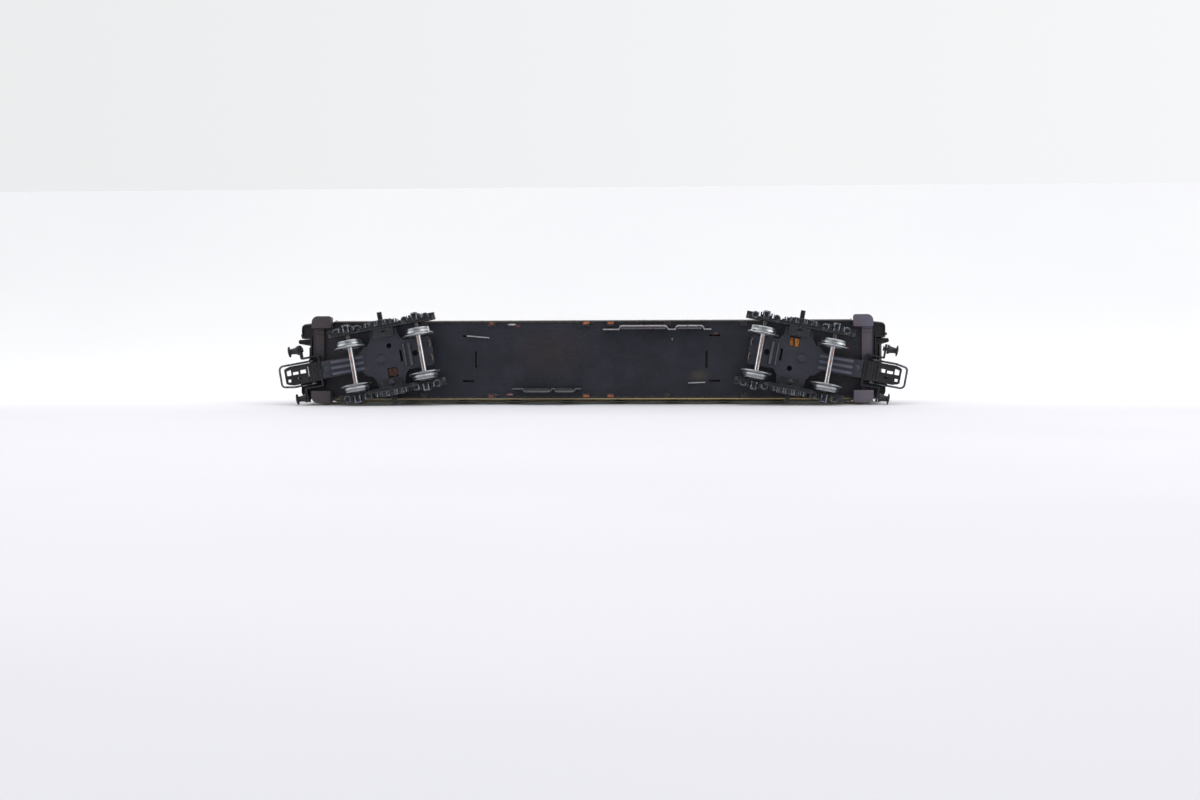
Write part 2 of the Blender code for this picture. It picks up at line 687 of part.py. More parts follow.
def build_side_frame(tag, hand, pivot, materials):
    """One side frame: pressed bar, two axleboxes, six coil springs, a side peg and a fixing lug."""
    mid = BOGIE_MIDDLE_U
    label = "left" if hand > 0 else "right"
    name = f"bogie_{tag}_frame_{label}"
    axle_u = [mid - WHEELBASE / 2, mid + WHEELBASE / 2]

    def outwards(u, v, z):
        """Local Z points away from the bogie's middle line."""
        return Matrix.Translation((u, hand * v, z)) @ Matrix.Rotation(-hand * math.pi / 2, 4, "X")

    def draw(bm):
        turn = Matrix.Translation((mid, 0, 0)) @ Matrix.Rotation(math.pi / 2, 4, "X")
        edges = sorted((-hand * FRAME_INNER_V, -hand * FRAME_OUTER_V))
        add_prism(bm, side_frame_outline(), *edges, turn)

    def draw_axleboxes(bm):
        for u in axle_u:
            place = outwards(u, FRAME_OUTER_V - 0.8 * MM, AXLE_Z) @ Matrix.Diagonal((0.72, 1.0, 1.0, 1.0))
            profile = [(2.2 * MM, 0), (2.2 * MM, 2.5 * MM), (1.7 * MM, 3.3 * MM), (0, 3.6 * MM)]
            add_turned(bm, profile, 10, place)

    def draw_springs(bm):
        places = [(u + offset, 4.8 * MM, 9.0 * MM) for u in axle_u for offset in (-4.2 * MM, 4.2 * MM)]
        places += [(mid + offset, 3.9 * MM, 10.2 * MM) for offset in (-3.3 * MM, 3.3 * MM)]
        for u, low, high in places:
            place = Matrix.Translation((u, hand * SPRING_V, 0))
            add_turned(bm, [(SPRING_RADIUS, low), (SPRING_RADIUS, high)], 8, place)

    def draw_peg(bm):
        edges = sorted((hand * (FRAME_OUTER_V - 0.7 * MM), hand * PEG_TIP_V))
        add_box(bm, (mid - 0.95 * MM, edges[0], 6.0 * MM), (mid + 0.95 * MM, edges[1], 7.6 * MM))

    def draw_lug(bm):
        edges = sorted((hand * 8.4 * MM, hand * (FRAME_INNER_V + 0.6 * MM)))
        add_box(bm, (mid - 4.0 * MM, edges[0], 7.2 * MM), (mid + 4.0 * MM, edges[1], PLATE_Z[0] - GAP))

    def draw_bores(bm):
        depth = AXLE_HALF_LENGTH + SIDE_PLAY + GAP - FRAME_INNER_V
        for u in axle_u:
            place = outwards(u, FRAME_INNER_V, AXLE_Z)
            add_turned(bm, [(1.1 * MM, -2 * MM), (1.1 * MM, depth - 0.4 * MM), (0.5 * MM, depth)], 10, place)
        place = Matrix.Translation((mid, hand * 9.8 * MM, 0))
        add_turned(bm, [(0.8 * MM, 6 * MM), (0.8 * MM, 9 * MM)], 12, place)

    frame = make_object(name, draw, materials["bogie_black"], pivot)
    combine(frame, f"{name}_springs", draw_springs, "UNION")
    combine(frame, f"{name}_axleboxes", draw_axleboxes, "UNION")
    combine(frame, f"{name}_peg", draw_peg, "UNION")
    combine(frame, f"{name}_lug", draw_lug, "UNION")
    combine(frame, f"{name}_bores", draw_bores, "DIFFERENCE")


def rivet_profile(low, high, shaft, head):
    """A rivet along local Z, its heads outside low and high."""
    thick = 0.4 * MM
    return [(0, low - thick), (head, low), (shaft, low), (shaft, high), (head, high), (0, high + thick)]


def build_rivets(tag, pivot, materials):
    """Two rivets hold the side frames' lugs under the plate, one holds the buffer beam's shelf on the
    drawbar."""
    lug = rivet_profile(7.2 * MM - GAP, PLATE_Z[1] + GAP, 0.5 * MM, 1.1 * MM)
    shelf = rivet_profile(PLATE_Z[0] - GAP, 9.7 * MM + GAP, 0.5 * MM, 1.2 * MM)
    places = {
        f"frame_rivet_{tag}_left": (lug, (BOGIE_MIDDLE_U, 9.8 * MM, 0)),
        f"frame_rivet_{tag}_right": (lug, (BOGIE_MIDDLE_U, -9.8 * MM, 0)),
        f"drawbar_rivet_{tag}": (shelf, (21.6 * MM, 0, 0)),
    }
    for name, (profile, place) in places.items():

        def draw(bm, profile=profile, place=place):
            add_turned(bm, profile, 10, Matrix.Translation(place))

        make_object(name, draw, materials["worn_tin"], pivot, smooth_deg=40)


def build_wheelset(tag, number, u, pivot, materials):
    """An axle and its two wheels, turned round the axle's own line."""
    slid = SIDE_PLAY if tag == "b" else -SIDE_PLAY
    axle_pivot = make_pivot(f"wheelset_{tag}{number}_pivot", (u, slid, AXLE_Z))
    axle_pivot.parent = pivot

    def draw_axle(bm):
        half = AXLE_HALF_LENGTH
        profile = [(0.15 * MM, -half), (AXLE_SEAT_RADIUS, -half + 0.9 * MM)]
        profile += [(AXLE_SEAT_RADIUS, -6.9 * MM), (AXLE_RADIUS, -6.9 * MM)]
        profile += [(r, -h) for r, h in reversed(profile)]
        add_turned(bm, profile, 12, along_y((0, 0, 0)))

    make_object(f"axle_{tag}{number}", draw_axle, materials["axle_steel"], axle_pivot, smooth_deg=40)
    for hand, label in ((1, "left"), (-1, "right")):

        def draw_wheel(bm, hand=hand):
            rim, width = TREAD_RADIUS, WHEEL_WIDTH
            profile = [(WHEEL_BORE, 0), (FLANGE_RADIUS - 0.25 * MM, 0), (FLANGE_RADIUS, 0.3 * MM)]
            profile += [(FLANGE_RADIUS - 0.15 * MM, 0.6 * MM), (rim + 0.15 * MM, 1.0 * MM)]
            profile += [(rim - 0.1 * MM, width), (4.1 * MM, width), (3.9 * MM, width - 0.6 * MM)]
            profile += [(2.0 * MM, width - 0.6 * MM), (1.9 * MM, width), (WHEEL_BORE, width)]
            place = Matrix.Rotation(-hand * math.pi / 2, 4, "X") @ Matrix.Translation((0, 0, WHEEL_INNER_V))
            add_turned_ring(bm, profile, WHEEL_SEGMENTS, place)

        name = f"wheel_{tag}{number}_{label}"
        make_object(name, draw_wheel, materials["wheel_nickel"], axle_pivot, smooth_deg=40)


def build_buffer_beam(tag, pivot, materials):
    """A hat-shaped strip: back wall, two arms and two wings, with a shelf that lies on the drawbar."""
    half = BEAM_SHEET / 2
    back, wing = BEAM_BACK_U + half, BEAM_WING_U + half
    path = [(wing, -BEAM_TIP_V, 0), (wing, -BEAM_POCKET_V, 0), (back, -BEAM_POCKET_V, 0)]
    path += [(u, -v, 0) for u, v, _ in reversed(path)]

    def draw(bm):
        add_swept(bm, path, (0, 0, 1), rectangle_section(BEAM_SHEET, *BEAM_Z))

    def draw_shelf(bm):
        low = PLATE_Z[1] + GAP
        add_box(bm, (19.6 * MM, -3.4 * MM, low), (BEAM_BACK_U + 0.4 * MM, 3.4 * MM, low + 0.6 * MM))

    def draw_holes(bm):
        for v in (-BUFFER_V, BUFFER_V):
            add_turned(bm, [(0.9 * MM, -2 * MM), (0.9 * MM, 2 * MM)], 12, along_x((wing, v, BUFFER_Z)))
        add_turned(bm, [(0.8 * MM, -2 * MM), (0.8 * MM, 2 * MM)], 12, along_x((back, 0, 11.2 * MM)))
        shelf = Matrix.Translation((21.6 * MM, 0, 9.4 * MM))
        add_turned(bm, [(0.8 * MM, -2 * MM), (0.8 * MM, 1 * MM)], 12, shelf)

    beam = make_object(f"buffer_beam_{tag}", draw, materials["bogie_black"], pivot)
    combine(beam, f"beam_{tag}_shelf", draw_shelf, "UNION")
    combine(beam, f"beam_{tag}_holes", draw_holes, "DIFFERENCE")


def build_buffers(tag, pivot, materials):
    """Each buffer is riveted through its wing: rivet end, foot, tapered stem and round head."""
    face = BEAM_WING_U + BEAM_SHEET + GAP
    back = BEAM_WING_U - GAP
    for hand, label in ((1, "left"), (-1, "right")):

        def draw(bm, hand=hand):
            profile = [(0, back - 0.5 * MM), (1.2 * MM, back), (0.6 * MM, back)]
            profile += [(0.6 * MM, face), (1.9 * MM, face), (1.8 * MM, face + 0.6 * MM)]
            profile += [(1.15 * MM, BUFFER_TIP_U - 0.9 * MM), (BUFFER_HEAD_RADIUS, BUFFER_TIP_U - 0.7 * MM)]
            profile += [(BUFFER_HEAD_RADIUS, BUFFER_TIP_U - 0.3 * MM), (0, BUFFER_TIP_U)]
            add_turned(bm, profile, 12, along_x((0, hand * BUFFER_V, BUFFER_Z)))

        make_object(f"buffer_{tag}_{label}", draw, materials["bogie_black"], pivot, smooth_deg=40)


def build_coupler(tag, pivot, materials):
    """A fixed head with a central hook, riveted in the beam's pocket, and a wire bow on a cross pin."""
    z_mid = COUPLER_Z
    z0, z1 = z_mid - 1.5 * MM, z_mid + 1.5 * MM
    rear = BEAM_BACK_U + BEAM_SHEET + GAP
    half = COUPLER_HALF_WIDTH
    sheet = 1.0 * MM
    upper = -1 if tag == "b" else 1

    def draw_head(bm):
        path = [(38.3 * MM, -half + 1.1 * MM, 0), (36.4 * MM, -half + sheet / 2, 0)]
        path += [(rear + sheet / 2, -half + sheet / 2, 0)]
        path += [(u, -v, 0) for u, v, _ in reversed(path)]
        add_swept(bm, path, (0, 0, 1), rectangle_section(sheet, z0, z1))

    def draw_cage_plate(bm):
        outline = [(29.6, -3.4), (36.4, -3.4), (38.9, -2.9), (38.9, 2.9), (36.4, 3.4), (29.6, 3.4)]
        add_prism(bm, [(u * MM, v * MM) for u, v in outline], z0, z0 + 0.9 * MM)

    def draw_cage_windows(bm):
        for u0, u1, v0, v1 in CAGE_WINDOWS:
            edges = sorted((upper * v0, upper * v1))
            add_box(bm, (u0 * MM, edges[0] * MM, z0 - 1 * MM), (u1 * MM, edges[1] * MM, z0 + 2 * MM))

    def draw_hook(bm):
        outline = [(29.9, -1.4), (38.1, -1.4), (38.9, -0.6), (38.9, 1.9), (37.7, 1.9), (37.7, 0.2), (35.4, -0.2)]
        outline += [(29.9, -0.2)]
        outline = [(u * MM, z * MM) for u, z in outline]
        add_prism(bm, outline, -0.6 * MM, 0.6 * MM, upright_along_y((0, -upper * 0.45 * MM, z_mid)))

    def draw_head_holes(bm):
        place = along_y((COUPLER_PIN_U, 0, z_mid))
        add_turned(bm, [(0.8 * MM, -6 * MM), (0.8 * MM, 6 * MM)], 12, place)
        add_turned(bm, [(0.8 * MM, -1 * MM), (0.8 * MM, 1 * MM)], 12, along_x((rear + sheet / 2, 0, 11.2 * MM)))

    head = make_object(f"coupler_{tag}_head", draw_head, materials["bogie_black"], pivot)
    combine(head, f"head_{tag}_plate", draw_cage_plate, "UNION")
    combine(head, f"head_{tag}_windows", draw_cage_windows, "DIFFERENCE")
    combine(head, f"head_{tag}_hook", draw_hook, "UNION")
    combine(head, f"head_{tag}_holes", draw_head_holes, "DIFFERENCE")

    def draw_rivet(bm):
        profile = rivet_profile(BEAM_BACK_U - GAP, rear + sheet + GAP, 0.5 * MM, 1.1 * MM)
        add_turned(bm, profile, 8, along_x((0, 0, 11.2 * MM)))

    make_object(f"coupler_{tag}_rivet", draw_rivet, materials["worn_tin"], pivot, smooth_deg=40)

    def draw_pin(bm):
        profile = rivet_profile(-4.9 * MM, 4.9 * MM, 0.5 * MM, 0.9 * MM)
        add_turned(bm, profile, 8, along_y((COUPLER_PIN_U, 0, z_mid)))

    make_object(f"coupler_{tag}_pin", draw_pin, materials["axle_steel"], pivot, smooth_deg=40)

    bow_pivot = make_pivot(f"bow_{tag}_pivot", (COUPLER_PIN_U, 0, z_mid))
    bow_pivot.parent = pivot
    reach = BOW_TIP_U - COUPLER_PIN_U - BOW_WIRE_RADIUS

    def draw_bow(bm):
        path = [(1.0 * MM, BOW_V, 0), (reach - 1.6 * MM, BOW_V, 0), (reach - 0.5 * MM, BOW_V - 0.5 * MM, 0)]
        path += [(reach, BOW_V - 1.6 * MM, 0), (reach, -2.6 * MM, 0), (reach - 0.4 * MM, -3.6 * MM, 0)]
        path += [(reach - 3.2 * MM, -BOW_V + 0.15 * MM, 0), (reach - 4.2 * MM, -BOW_V, 0), (1.0 * MM, -BOW_V, 0)]
        add_swept(bm, path, (0, 0, 1), circle_section(BOW_WIRE_RADIUS, 6))

    def draw_eyes(bm):
        for side in (-1, 1):
            profile = [(1.4 * MM, -0.3 * MM), (1.4 * MM, 0.3 * MM)]
            add_turned(bm, profile, 10, along_y((0, side * BOW_V, 0)))

    def draw_eye_holes(bm):
        add_turned(bm, [(0.8 * MM, -7 * MM), (0.8 * MM, 7 * MM)], 8, along_y((0, 0, 0)))

    bow = make_object(f"coupler_{tag}_bow", draw_bow, materials["axle_steel"], bow_pivot, smooth_deg=40)
    combine(bow, f"bow_{tag}_eyes", draw_eyes, "UNION")
    combine(bow, f"bow_{tag}_eye_holes", draw_eye_holes, "DIFFERENCE")


def build_bogie(tag, x, heading_deg, materials):
    pivot = make_pivot(f"bogie_{tag}_pivot", (x, 0, 0), heading_deg)
    build_bogie_plate(tag, pivot, materials)
    for hand in (1, -1):
        build_side_frame(tag, hand, pivot, materials)
    build_rivets(tag, pivot, materials)
    for number, side in ((1, 1), (2, -1)):
        build_wheelset(tag, number, BOGIE_MIDDLE_U + side * WHEELBASE / 2, pivot, materials)
    build_buffer_beam(tag, pivot, materials)
    build_buffers(tag, pivot, materials)
    build_coupler(tag, pivot, materials)


def main():
    clear_scene()
    materials = make_materials()
    build_floor(materials)
    build_body(materials)
    build_roof(materials)
    build_glazing(materials)
    for tag, side in (("a", -1), ("b", 1)):
        build_steps(f"steps_{tag}", side, materials)
        build_gangway(f"gangway_{tag}", side, materials)
        build_end_door(f"end_door_{tag}", side, materials)
        build_king_pin(f"king_pin_{tag}", side * PIVOT_X, materials)
    long_skirt = [(6.3, False), (19.3, True), (2.7, False), (11.4, True), (2.7, False)]
    short_skirt = [(4.5, False), (11.4, True), (1.0, False), (8.2, True), (2.3, False)]
    build_skirt("skirt_long", -1, 4.9 * MM, [(n * MM, box) for n, box in long_skirt], materials)
    build_skirt("skirt_short", 1, -31.0 * MM, [(n * MM, box) for n, box in short_skirt], materials)
    build_floor_tab("floor_tab_a", (-49.0, -40.0), -9.0 * MM, 0.4 * MM, materials)
    build_floor_tab("floor_tab_b", (38.3, 45.0), 9.2 * MM, 0.2 * MM, materials)
    build_bogie("a", -PIVOT_X, SWIVEL_A_DEG, materials)
    build_bogie("b", PIVOT_X, SWIVEL_B_DEG, materials)


main()
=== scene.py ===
import math

import bmesh
import bpy
from mathutils import Matrix, Vector


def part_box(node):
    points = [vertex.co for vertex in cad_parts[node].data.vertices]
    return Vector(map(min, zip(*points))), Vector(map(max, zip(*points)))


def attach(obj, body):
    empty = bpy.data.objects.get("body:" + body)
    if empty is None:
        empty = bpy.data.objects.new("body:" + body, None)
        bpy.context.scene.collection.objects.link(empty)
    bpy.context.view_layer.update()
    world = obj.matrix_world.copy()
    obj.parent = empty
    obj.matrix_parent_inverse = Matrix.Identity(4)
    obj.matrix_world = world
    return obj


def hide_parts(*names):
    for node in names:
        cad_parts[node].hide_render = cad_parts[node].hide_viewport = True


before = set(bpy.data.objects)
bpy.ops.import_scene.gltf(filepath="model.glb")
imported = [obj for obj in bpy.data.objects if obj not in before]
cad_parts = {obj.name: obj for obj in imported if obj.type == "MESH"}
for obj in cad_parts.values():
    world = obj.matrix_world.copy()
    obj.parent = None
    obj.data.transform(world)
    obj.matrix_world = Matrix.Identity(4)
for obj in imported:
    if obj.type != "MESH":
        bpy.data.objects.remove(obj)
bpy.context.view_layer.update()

# The coach lies on its left side on white paper and shows its underside to the camera.
# Shapes are drawn in millimetres. X runs along the coach, Z up from the wheel flanges;
# on a bogie u runs from the king pin towards the coach's end and v across.
MM = 0.001

# Camera: turned about Y, then X, then its own axis, away from looking straight along +Z
CAMERA_DISTANCE = 0.8
CAMERA_TURN_DEG = (-3.62, 1.75, 0.08)
CAMERA_TARGET = (0.0037, 0.016, 0.012)
SENSOR_WIDTH = 36.0
LENS = 61.25

# Bogies
KING_PIN_X = (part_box("king_pin_b")[0].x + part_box("king_pin_b")[1].x) / 2
HEADING_DEG = {"a": 180.0 - 10.2, "b": 10.5}
AXLE_Z = 6.2
SIDE_PLAY = {"a": -0.9, "b": 0.9}
BOGIE_MIDDLE = -2.7
AXLES = {"1": BOGIE_MIDDLE + 13.7, "2": BOGIE_MIDDLE - 13.7}
PLATE_Z = (8.2, 8.8)
FRAME_V = (11.6, 13.0)
PEG_TIP_V = 18.2
WINDOW_U = (BOGIE_MIDDLE - 3.1, BOGIE_MIDDLE + 0.9)
WINDOW_V = (-7.9, -3.9)
BEAM_BACK, BEAM_WING = 24.5, 31.3
BEAM_Z = (8.6, 12.7)
BUFFER_V, BUFFER_Z = 9.5, 10.5
COUPLER_PIN, COUPLER_Z = 28.0, 10.8

# Body
BODY_END = 115.0
WALL_Y, WALL_LEAN, WAIST_Z, WALL_TOP = 15.65, 0.45, 22.0, 37.7
ROOF_Z = (38.0, 47.0)
ROOF_Y, ROOF_SHEET = 15.7, 0.8
WINDOW = (15.5, 10.0)
WINDOW_Z = 28.6
WINDOW_PLACES = [21.0 * (i - 4) for i in range(9)]
SMALL_WINDOW = (5.0, 10.0)
SMALL_WINDOW_X = 97.0
DOOR_X = (102.9, 109.6)
DOOR_Z = (14.6, 36.4)
VENT_PLACES = [(32.0 * (i - 2.5), 4.5 if i % 2 else -4.5) for i in range(6)]

# Under the floor
FLOOR_BOTTOM = 14.2
STEP_X = (102.4, 110.0)
STEP_Y = (12.4, 17.1)
STEP_Z = (8.5, 13.6)
SKIRT_Z = (7.6, 13.9)
SKIRT_SHALLOW_Z = 10.6
SKIRT_Y, SKIRT_BULGE = 11.6, 1.2


# ---------------------------------------------------------------- drawing, in millimetres


def join_rings(bm, ring_a, ring_b, closed=True):
    count = len(ring_a)
    for i in range(count if closed else count - 1):
        j = (i + 1) % count
        bm.faces.new((ring_a[i], ring_a[j], ring_b[j], ring_b[i]))


def draw_box(bm, low, high):
    corners = [bm.verts.new((x, y, z)) for x in (low[0], high[0]) for y in (low[1],
                                                                            high[1]) for z in (low[2],
                                                                                               high[2])]
    for quad in ((0, 1, 3, 2), (4, 6, 7, 5), (0, 4, 5, 1), (2, 3, 7, 6), (0, 2, 6, 4), (1, 5, 7, 3)):
        bm.faces.new([corners[i] for i in quad])


def draw_prism(bm, outline, low, high, matrix=None):
    matrix = matrix or Matrix()
    rings = [[bm.verts.new(matrix @ Vector((x, y, z))) for x, y in outline] for z in (low, high)]
    bm.faces.new(rings[0])
    bm.faces.new(list(reversed(rings[1])))
    join_rings(bm, rings[0], rings[1])


def draw_turned(bm, profile, segments=48, matrix=None, closed=False):
    """Turns (radius, height) points round local Z. A closed profile makes a ring with a hole."""
    matrix = matrix or Matrix()
    rings = []
    for radius, height in profile:
        count = segments if radius else 1
        angles = [2 * math.pi * i / segments for i in range(count)]
        points = [Vector((radius * math.cos(a), radius * math.sin(a), height)) for a in angles]
        rings.append([bm.verts.new(matrix @ p) for p in points])
    pairs = list(zip(rings, rings[1:] + ([rings[0]] if closed else [])))
    for ring_a, ring_b in pairs:
        if len(ring_a) == len(ring_b):
            join_rings(bm, ring_a, ring_b)
            continue
        pole, ring = (ring_a[0], ring_b) if len(ring_a) == 1 else (ring_b[0], ring_a)
        for i in range(segments):
            bm.faces.new((pole, ring[i], ring[(i + 1) % segments]))
    if not closed:
        for ring in (rings[0], rings[-1]):
            if len(ring) > 1:
                bm.faces.new(ring)


def draw_strip(bm, path, up, section):
    """Carries a section of (across, up) points along a flat open path, mitred at its corners."""
    up = Vector(up)
    points = [Vector(p) for p in path]
    rings = []
    for i, point in enumerate(points):
        before = (point - points[i - 1]).normalized() if i else None
        after = (points[i + 1] - point).normalized() if i + 1 < len(points) else None
        tangent = ((before or after) + (after or before)).normalized()
        mitre = 1.0 / max(0.3, tangent.dot(after or before))
        across = tangent.cross(up)
        rings.append([bm.verts.new(point + across * a * mitre + up * b) for a, b in section])
    bm.faces.new(rings[0])
    bm.faces.new(rings[-1])
    for ring_a, ring_b in zip(rings, rings[1:]):
        join_rings(bm, ring_a, ring_b)


def draw_tube(bm, path, radius, sides=10, closed=False):
    """A round wire along any path, its section carried along without twist."""
    points = [Vector(p) for p in path]
    count = len(points)
    rings = []
    normal = None
    for i, point in enumerate(points):
        after = points[(i + 1) % count] if closed or i + 1 < count else point
        before = points[i - 1] if closed or i else point
        tangent = (after - before).normalized()
        if normal is None:
            normal = tangent.orthogonal().normalized()
        normal = (normal - tangent * normal.dot(tangent)).normalized()
        side = tangent.cross(normal)
        turns = [2 * math.pi * k / sides for k in range(sides)]
        around = [(normal * math.cos(t) + side * math.sin(t)) * radius for t in turns]
        rings.append([bm.verts.new(point + offset) for offset in around])
    for ring_a, ring_b in zip(rings, rings[1:]):
        join_rings(bm, ring_a, ring_b)
    if closed:
        shift = min(range(sides), key=lambda k: (rings[0][k].co - rings[-1][0].co).length)
        join_rings(bm, rings[-1], rings[0][shift:] + rings[0][:shift])
    else:
        bm.faces.new(rings[0])
        bm.faces.new(rings[-1])


def helix(centre, radius, low, high, turns, steps=20):
    total = int(turns * steps)
    points = []
    for i in range(total + 1):
        angle = 2 * math.pi * i / steps
        rise = low + (high - low) * i / total
        points.append((centre[0] + radius * math.cos(angle), centre[1] + radius * math.sin(angle), rise))
    return points


def arc(centre, radius, start_deg, end_deg, steps=6):
    angles = [math.radians(start_deg + (end_deg - start_deg) * i / steps) for i in range(steps + 1)]
    return [(centre[0] + radius * math.cos(a), centre[1] + radius * math.sin(a)) for a in angles]


def rounded_rectangle(width, height, radius, steps=6):
    x, y = width / 2 - radius, height / 2 - radius
    corners = (((x, y), 0), ((-x, y), 90), ((-x, -y), 180), ((x, -y), 270))
    return [p for centre, start in corners for p in arc(centre, radius, start, start + 90, steps)]


def mirrored(half):
    """Closes a half outline at y >= 0 with its mirror."""
    return half + [(x, -y) for x, y in reversed(half) if y > 0]


def along_y(at):
    return Matrix.Translation(at) @ Matrix.Rotation(-math.pi / 2, 4, "X")


def along_x(at):
    return Matrix.Translation(at) @ Matrix.Rotation(math.pi / 2, 4, "Y")


def upright_along_y(at):
    """For outlines drawn in X and Z."""
    return Matrix.Translation(at) @ Matrix.Rotation(math.pi / 2, 4, "X")


def mesh_from(name, draw):
    bm = bmesh.new()
    draw(bm)
    bmesh.ops.recalc_face_normals(bm, faces=bm.faces)
    bmesh.ops.scale(bm, vec=(MM, MM, MM), verts=bm.verts)
    mesh = bpy.data.meshes.new(name)
    bm.to_mesh(mesh)
    bm.free()
    return mesh


def helper_object(name, draw):
    helper = bpy.data.objects.new(name, mesh_from(name, draw))
    bpy.context.scene.collection.objects.link(helper)
    return helper


def piece(name, body, material, draw, place=None, joins=(), cuts=(), bevel=0.0, smooth_deg=35,
          replaces=(), turns=False):
    """A finished piece: its Booleans and bevel are applied, then it rides on a body.
    place moves its mesh; a piece that turns keeps its own origin, on its axis, for its material."""
    item = helper_object(name, draw)
    helpers = []
    for operation, functions in (("UNION", joins), ("DIFFERENCE", cuts)):
        for function in functions:
            helpers.append(helper_object("helper", function))
            modifier = item.modifiers.new(operation, "BOOLEAN")
            modifier.operation = operation
            modifier.solver = "EXACT"
            modifier.use_self = True
            modifier.object = helpers[-1]
    if bevel:
        modifier = item.modifiers.new("bevel", "BEVEL")
        modifier.width = bevel * MM
        modifier.segments = 2
        modifier.limit_method = "ANGLE"
        modifier.angle_limit = math.radians(28)
    if item.modifiers:
        bpy.context.view_layer.update()
        finished = bpy.data.meshes.new_from_object(item.evaluated_get(bpy.context.evaluated_depsgraph_get()))
        item.modifiers.clear()
        item.data = finished
    for helper in helpers:
        bpy.data.objects.remove(helper)
    item.data.shade_smooth()
    item.data.set_sharp_from_angle(angle=math.radians(smooth_deg))
    item.data.materials.clear()
    item.data.materials.append(material)
    if place is not None and turns:
        item.matrix_world = place
    elif place is not None:
        item.data.transform(place)
    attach(item, body)
    if replaces:
        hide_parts(*replaces)
    return item


# ---------------------------------------------------------------- materials


def srgb(red, green, blue):
    """A colour given in 0 to 255 as linear values."""
    linear = [((c / 255 + 0.055) / 1.055) ** 2.4 if c > 10 else c / 255 / 12.92 for c in (red, green, blue)]
    return (*linear, 1.0)


class Paint:
    """Builds one material's nodes. Places are the piece's own, in millimetres."""

    def __init__(self, name, roughness=0.5, metallic=0.0, **constants):
        self.material = bpy.data.materials.new(name)
        self.material.use_nodes = True
        self.tree = self.material.node_tree
        self.shader = self.tree.nodes["Principled BSDF"]
        self.shader.inputs["Roughness"].default_value = roughness
        self.shader.inputs["Metallic"].default_value = metallic
        for socket, value in constants.items():
            self.shader.inputs[socket.replace("_", " ")].default_value = value
        scale = self.add("ShaderNodeVectorMath", operation="SCALE")
        scale.inputs["Scale"].default_value = 1 / MM
        self.link(self.add("ShaderNodeTexCoord").outputs["Object"], scale.inputs[0])
        self.place = scale.outputs[0]
        split = self.add("ShaderNodeSeparateXYZ")
        self.link(self.place, split.inputs[0])
        self.x, self.y, self.z = split.outputs

    def add(self, kind, **settings):
        node = self.tree.nodes.new(kind)
        for name, value in settings.items():
            setattr(node, name, value)
        return node

    def link(self, source, target):
        self.tree.links.new(source, target)

    def put(self, value, target):
        if isinstance(value, bpy.types.NodeSocket):
            self.link(value, target)
        else:
            target.default_value = value

    def math(self, operation, a, b=0.0, clamp=False):
        node = self.add("ShaderNodeMath", operation=operation, use_clamp=clamp)
        self.put(a, node.inputs[0])
        self.put(b, node.inputs[1])
        return node.outputs[0]

    def noise(self, scale, detail=4.0, stretch=(1, 1, 1), seed=0.0):
        """Noise from 0 to 1; scale is in lumps per millimetre."""
        moved = self.add("ShaderNodeMapping")
        moved.inputs["Location"].default_value = (seed, seed * 0.7, seed * 1.3)
        moved.inputs["Scale"].default_value = stretch
        self.link(self.place, moved.inputs["Vector"])
        node = self.add("ShaderNodeTexNoise")
        node.inputs["Scale"].default_value = scale
        node.inputs["Detail"].default_value = detail
        node.inputs["Roughness"].default_value = 0.6
        self.link(moved.outputs[0], node.inputs["Vector"])
        return node.outputs["Fac"]

    def spread(self, value, low, high, to_low=0.0, to_high=1.0):
        """Maps low..high smoothly to to_low..to_high."""
        node = self.add("ShaderNodeMapRange", interpolation_type="SMOOTHSTEP")
        for socket, number in zip(("From Min", "From Max", "To Min", "To Max"), (low, high, to_low, to_high)):
            node.inputs[socket].default_value = number
        self.link(value, node.inputs["Value"])
        return node.outputs["Result"]

    def mix(self, share, a, b):
        node = self.add("ShaderNodeMix", data_type="RGBA")
        self.put(share, node.inputs["Factor"])
        self.put(a, node.inputs["A"])
        self.put(b, node.inputs["B"])
        return next(s for s in node.outputs if s.type == "RGBA")

    def band(self, value, middle, half, soft):
        """1 within half of middle, falling to 0 over soft."""
        away = self.math("ABSOLUTE", self.math("SUBTRACT", value, middle))
        return self.spread(away, half, half + soft, 1.0, 0.0)

    def spot(self, centre, size, soft=0.4):
        """1 in an ellipsoid of these half sizes, with a ragged soft edge."""
        shifted = self.add("ShaderNodeVectorMath", operation="SUBTRACT")
        self.link(self.place, shifted.inputs[0])
        shifted.inputs[1].default_value = centre
        scaled = self.add("ShaderNodeVectorMath", operation="DIVIDE")
        self.link(shifted.outputs[0], scaled.inputs[0])
        scaled.inputs[1].default_value = size
        length = self.add("ShaderNodeVectorMath", operation="LENGTH")
        self.link(scaled.outputs[0], length.inputs[0])
        ragged = self.math("ADD", length.outputs["Value"],
                           self.spread(self.noise(1.1), 0.2, 0.8, -0.35, 0.35))
        return self.spread(ragged, 1 - soft, 1 + soft, 1.0, 0.0)

    def edges(self, radius, ragged=1.0):
        """1 along the piece's sharp edges, broken up by noise."""
        bevel = self.add("ShaderNodeBevel", samples=6)
        bevel.inputs["Radius"].default_value = radius * MM
        flat = self.add("ShaderNodeNewGeometry")
        dot = self.add("ShaderNodeVectorMath", operation="DOT_PRODUCT")
        self.link(bevel.outputs[0], dot.inputs[0])
        self.link(flat.outputs["Normal"], dot.inputs[1])
        worn = self.spread(dot.outputs["Value"], 0.80, 0.985, 1.0, 0.0)
        return self.math("MULTIPLY", worn, self.spread(self.noise(ragged, seed=3.1), 0.36, 0.62))

    def bump(self, height, distance, strength=1.0):
        node = self.add("ShaderNodeBump")
        node.inputs["Distance"].default_value = distance * MM
        node.inputs["Strength"].default_value = strength
        self.link(height, node.inputs["Height"])
        self.link(node.outputs[0], self.shader.inputs["Normal"])

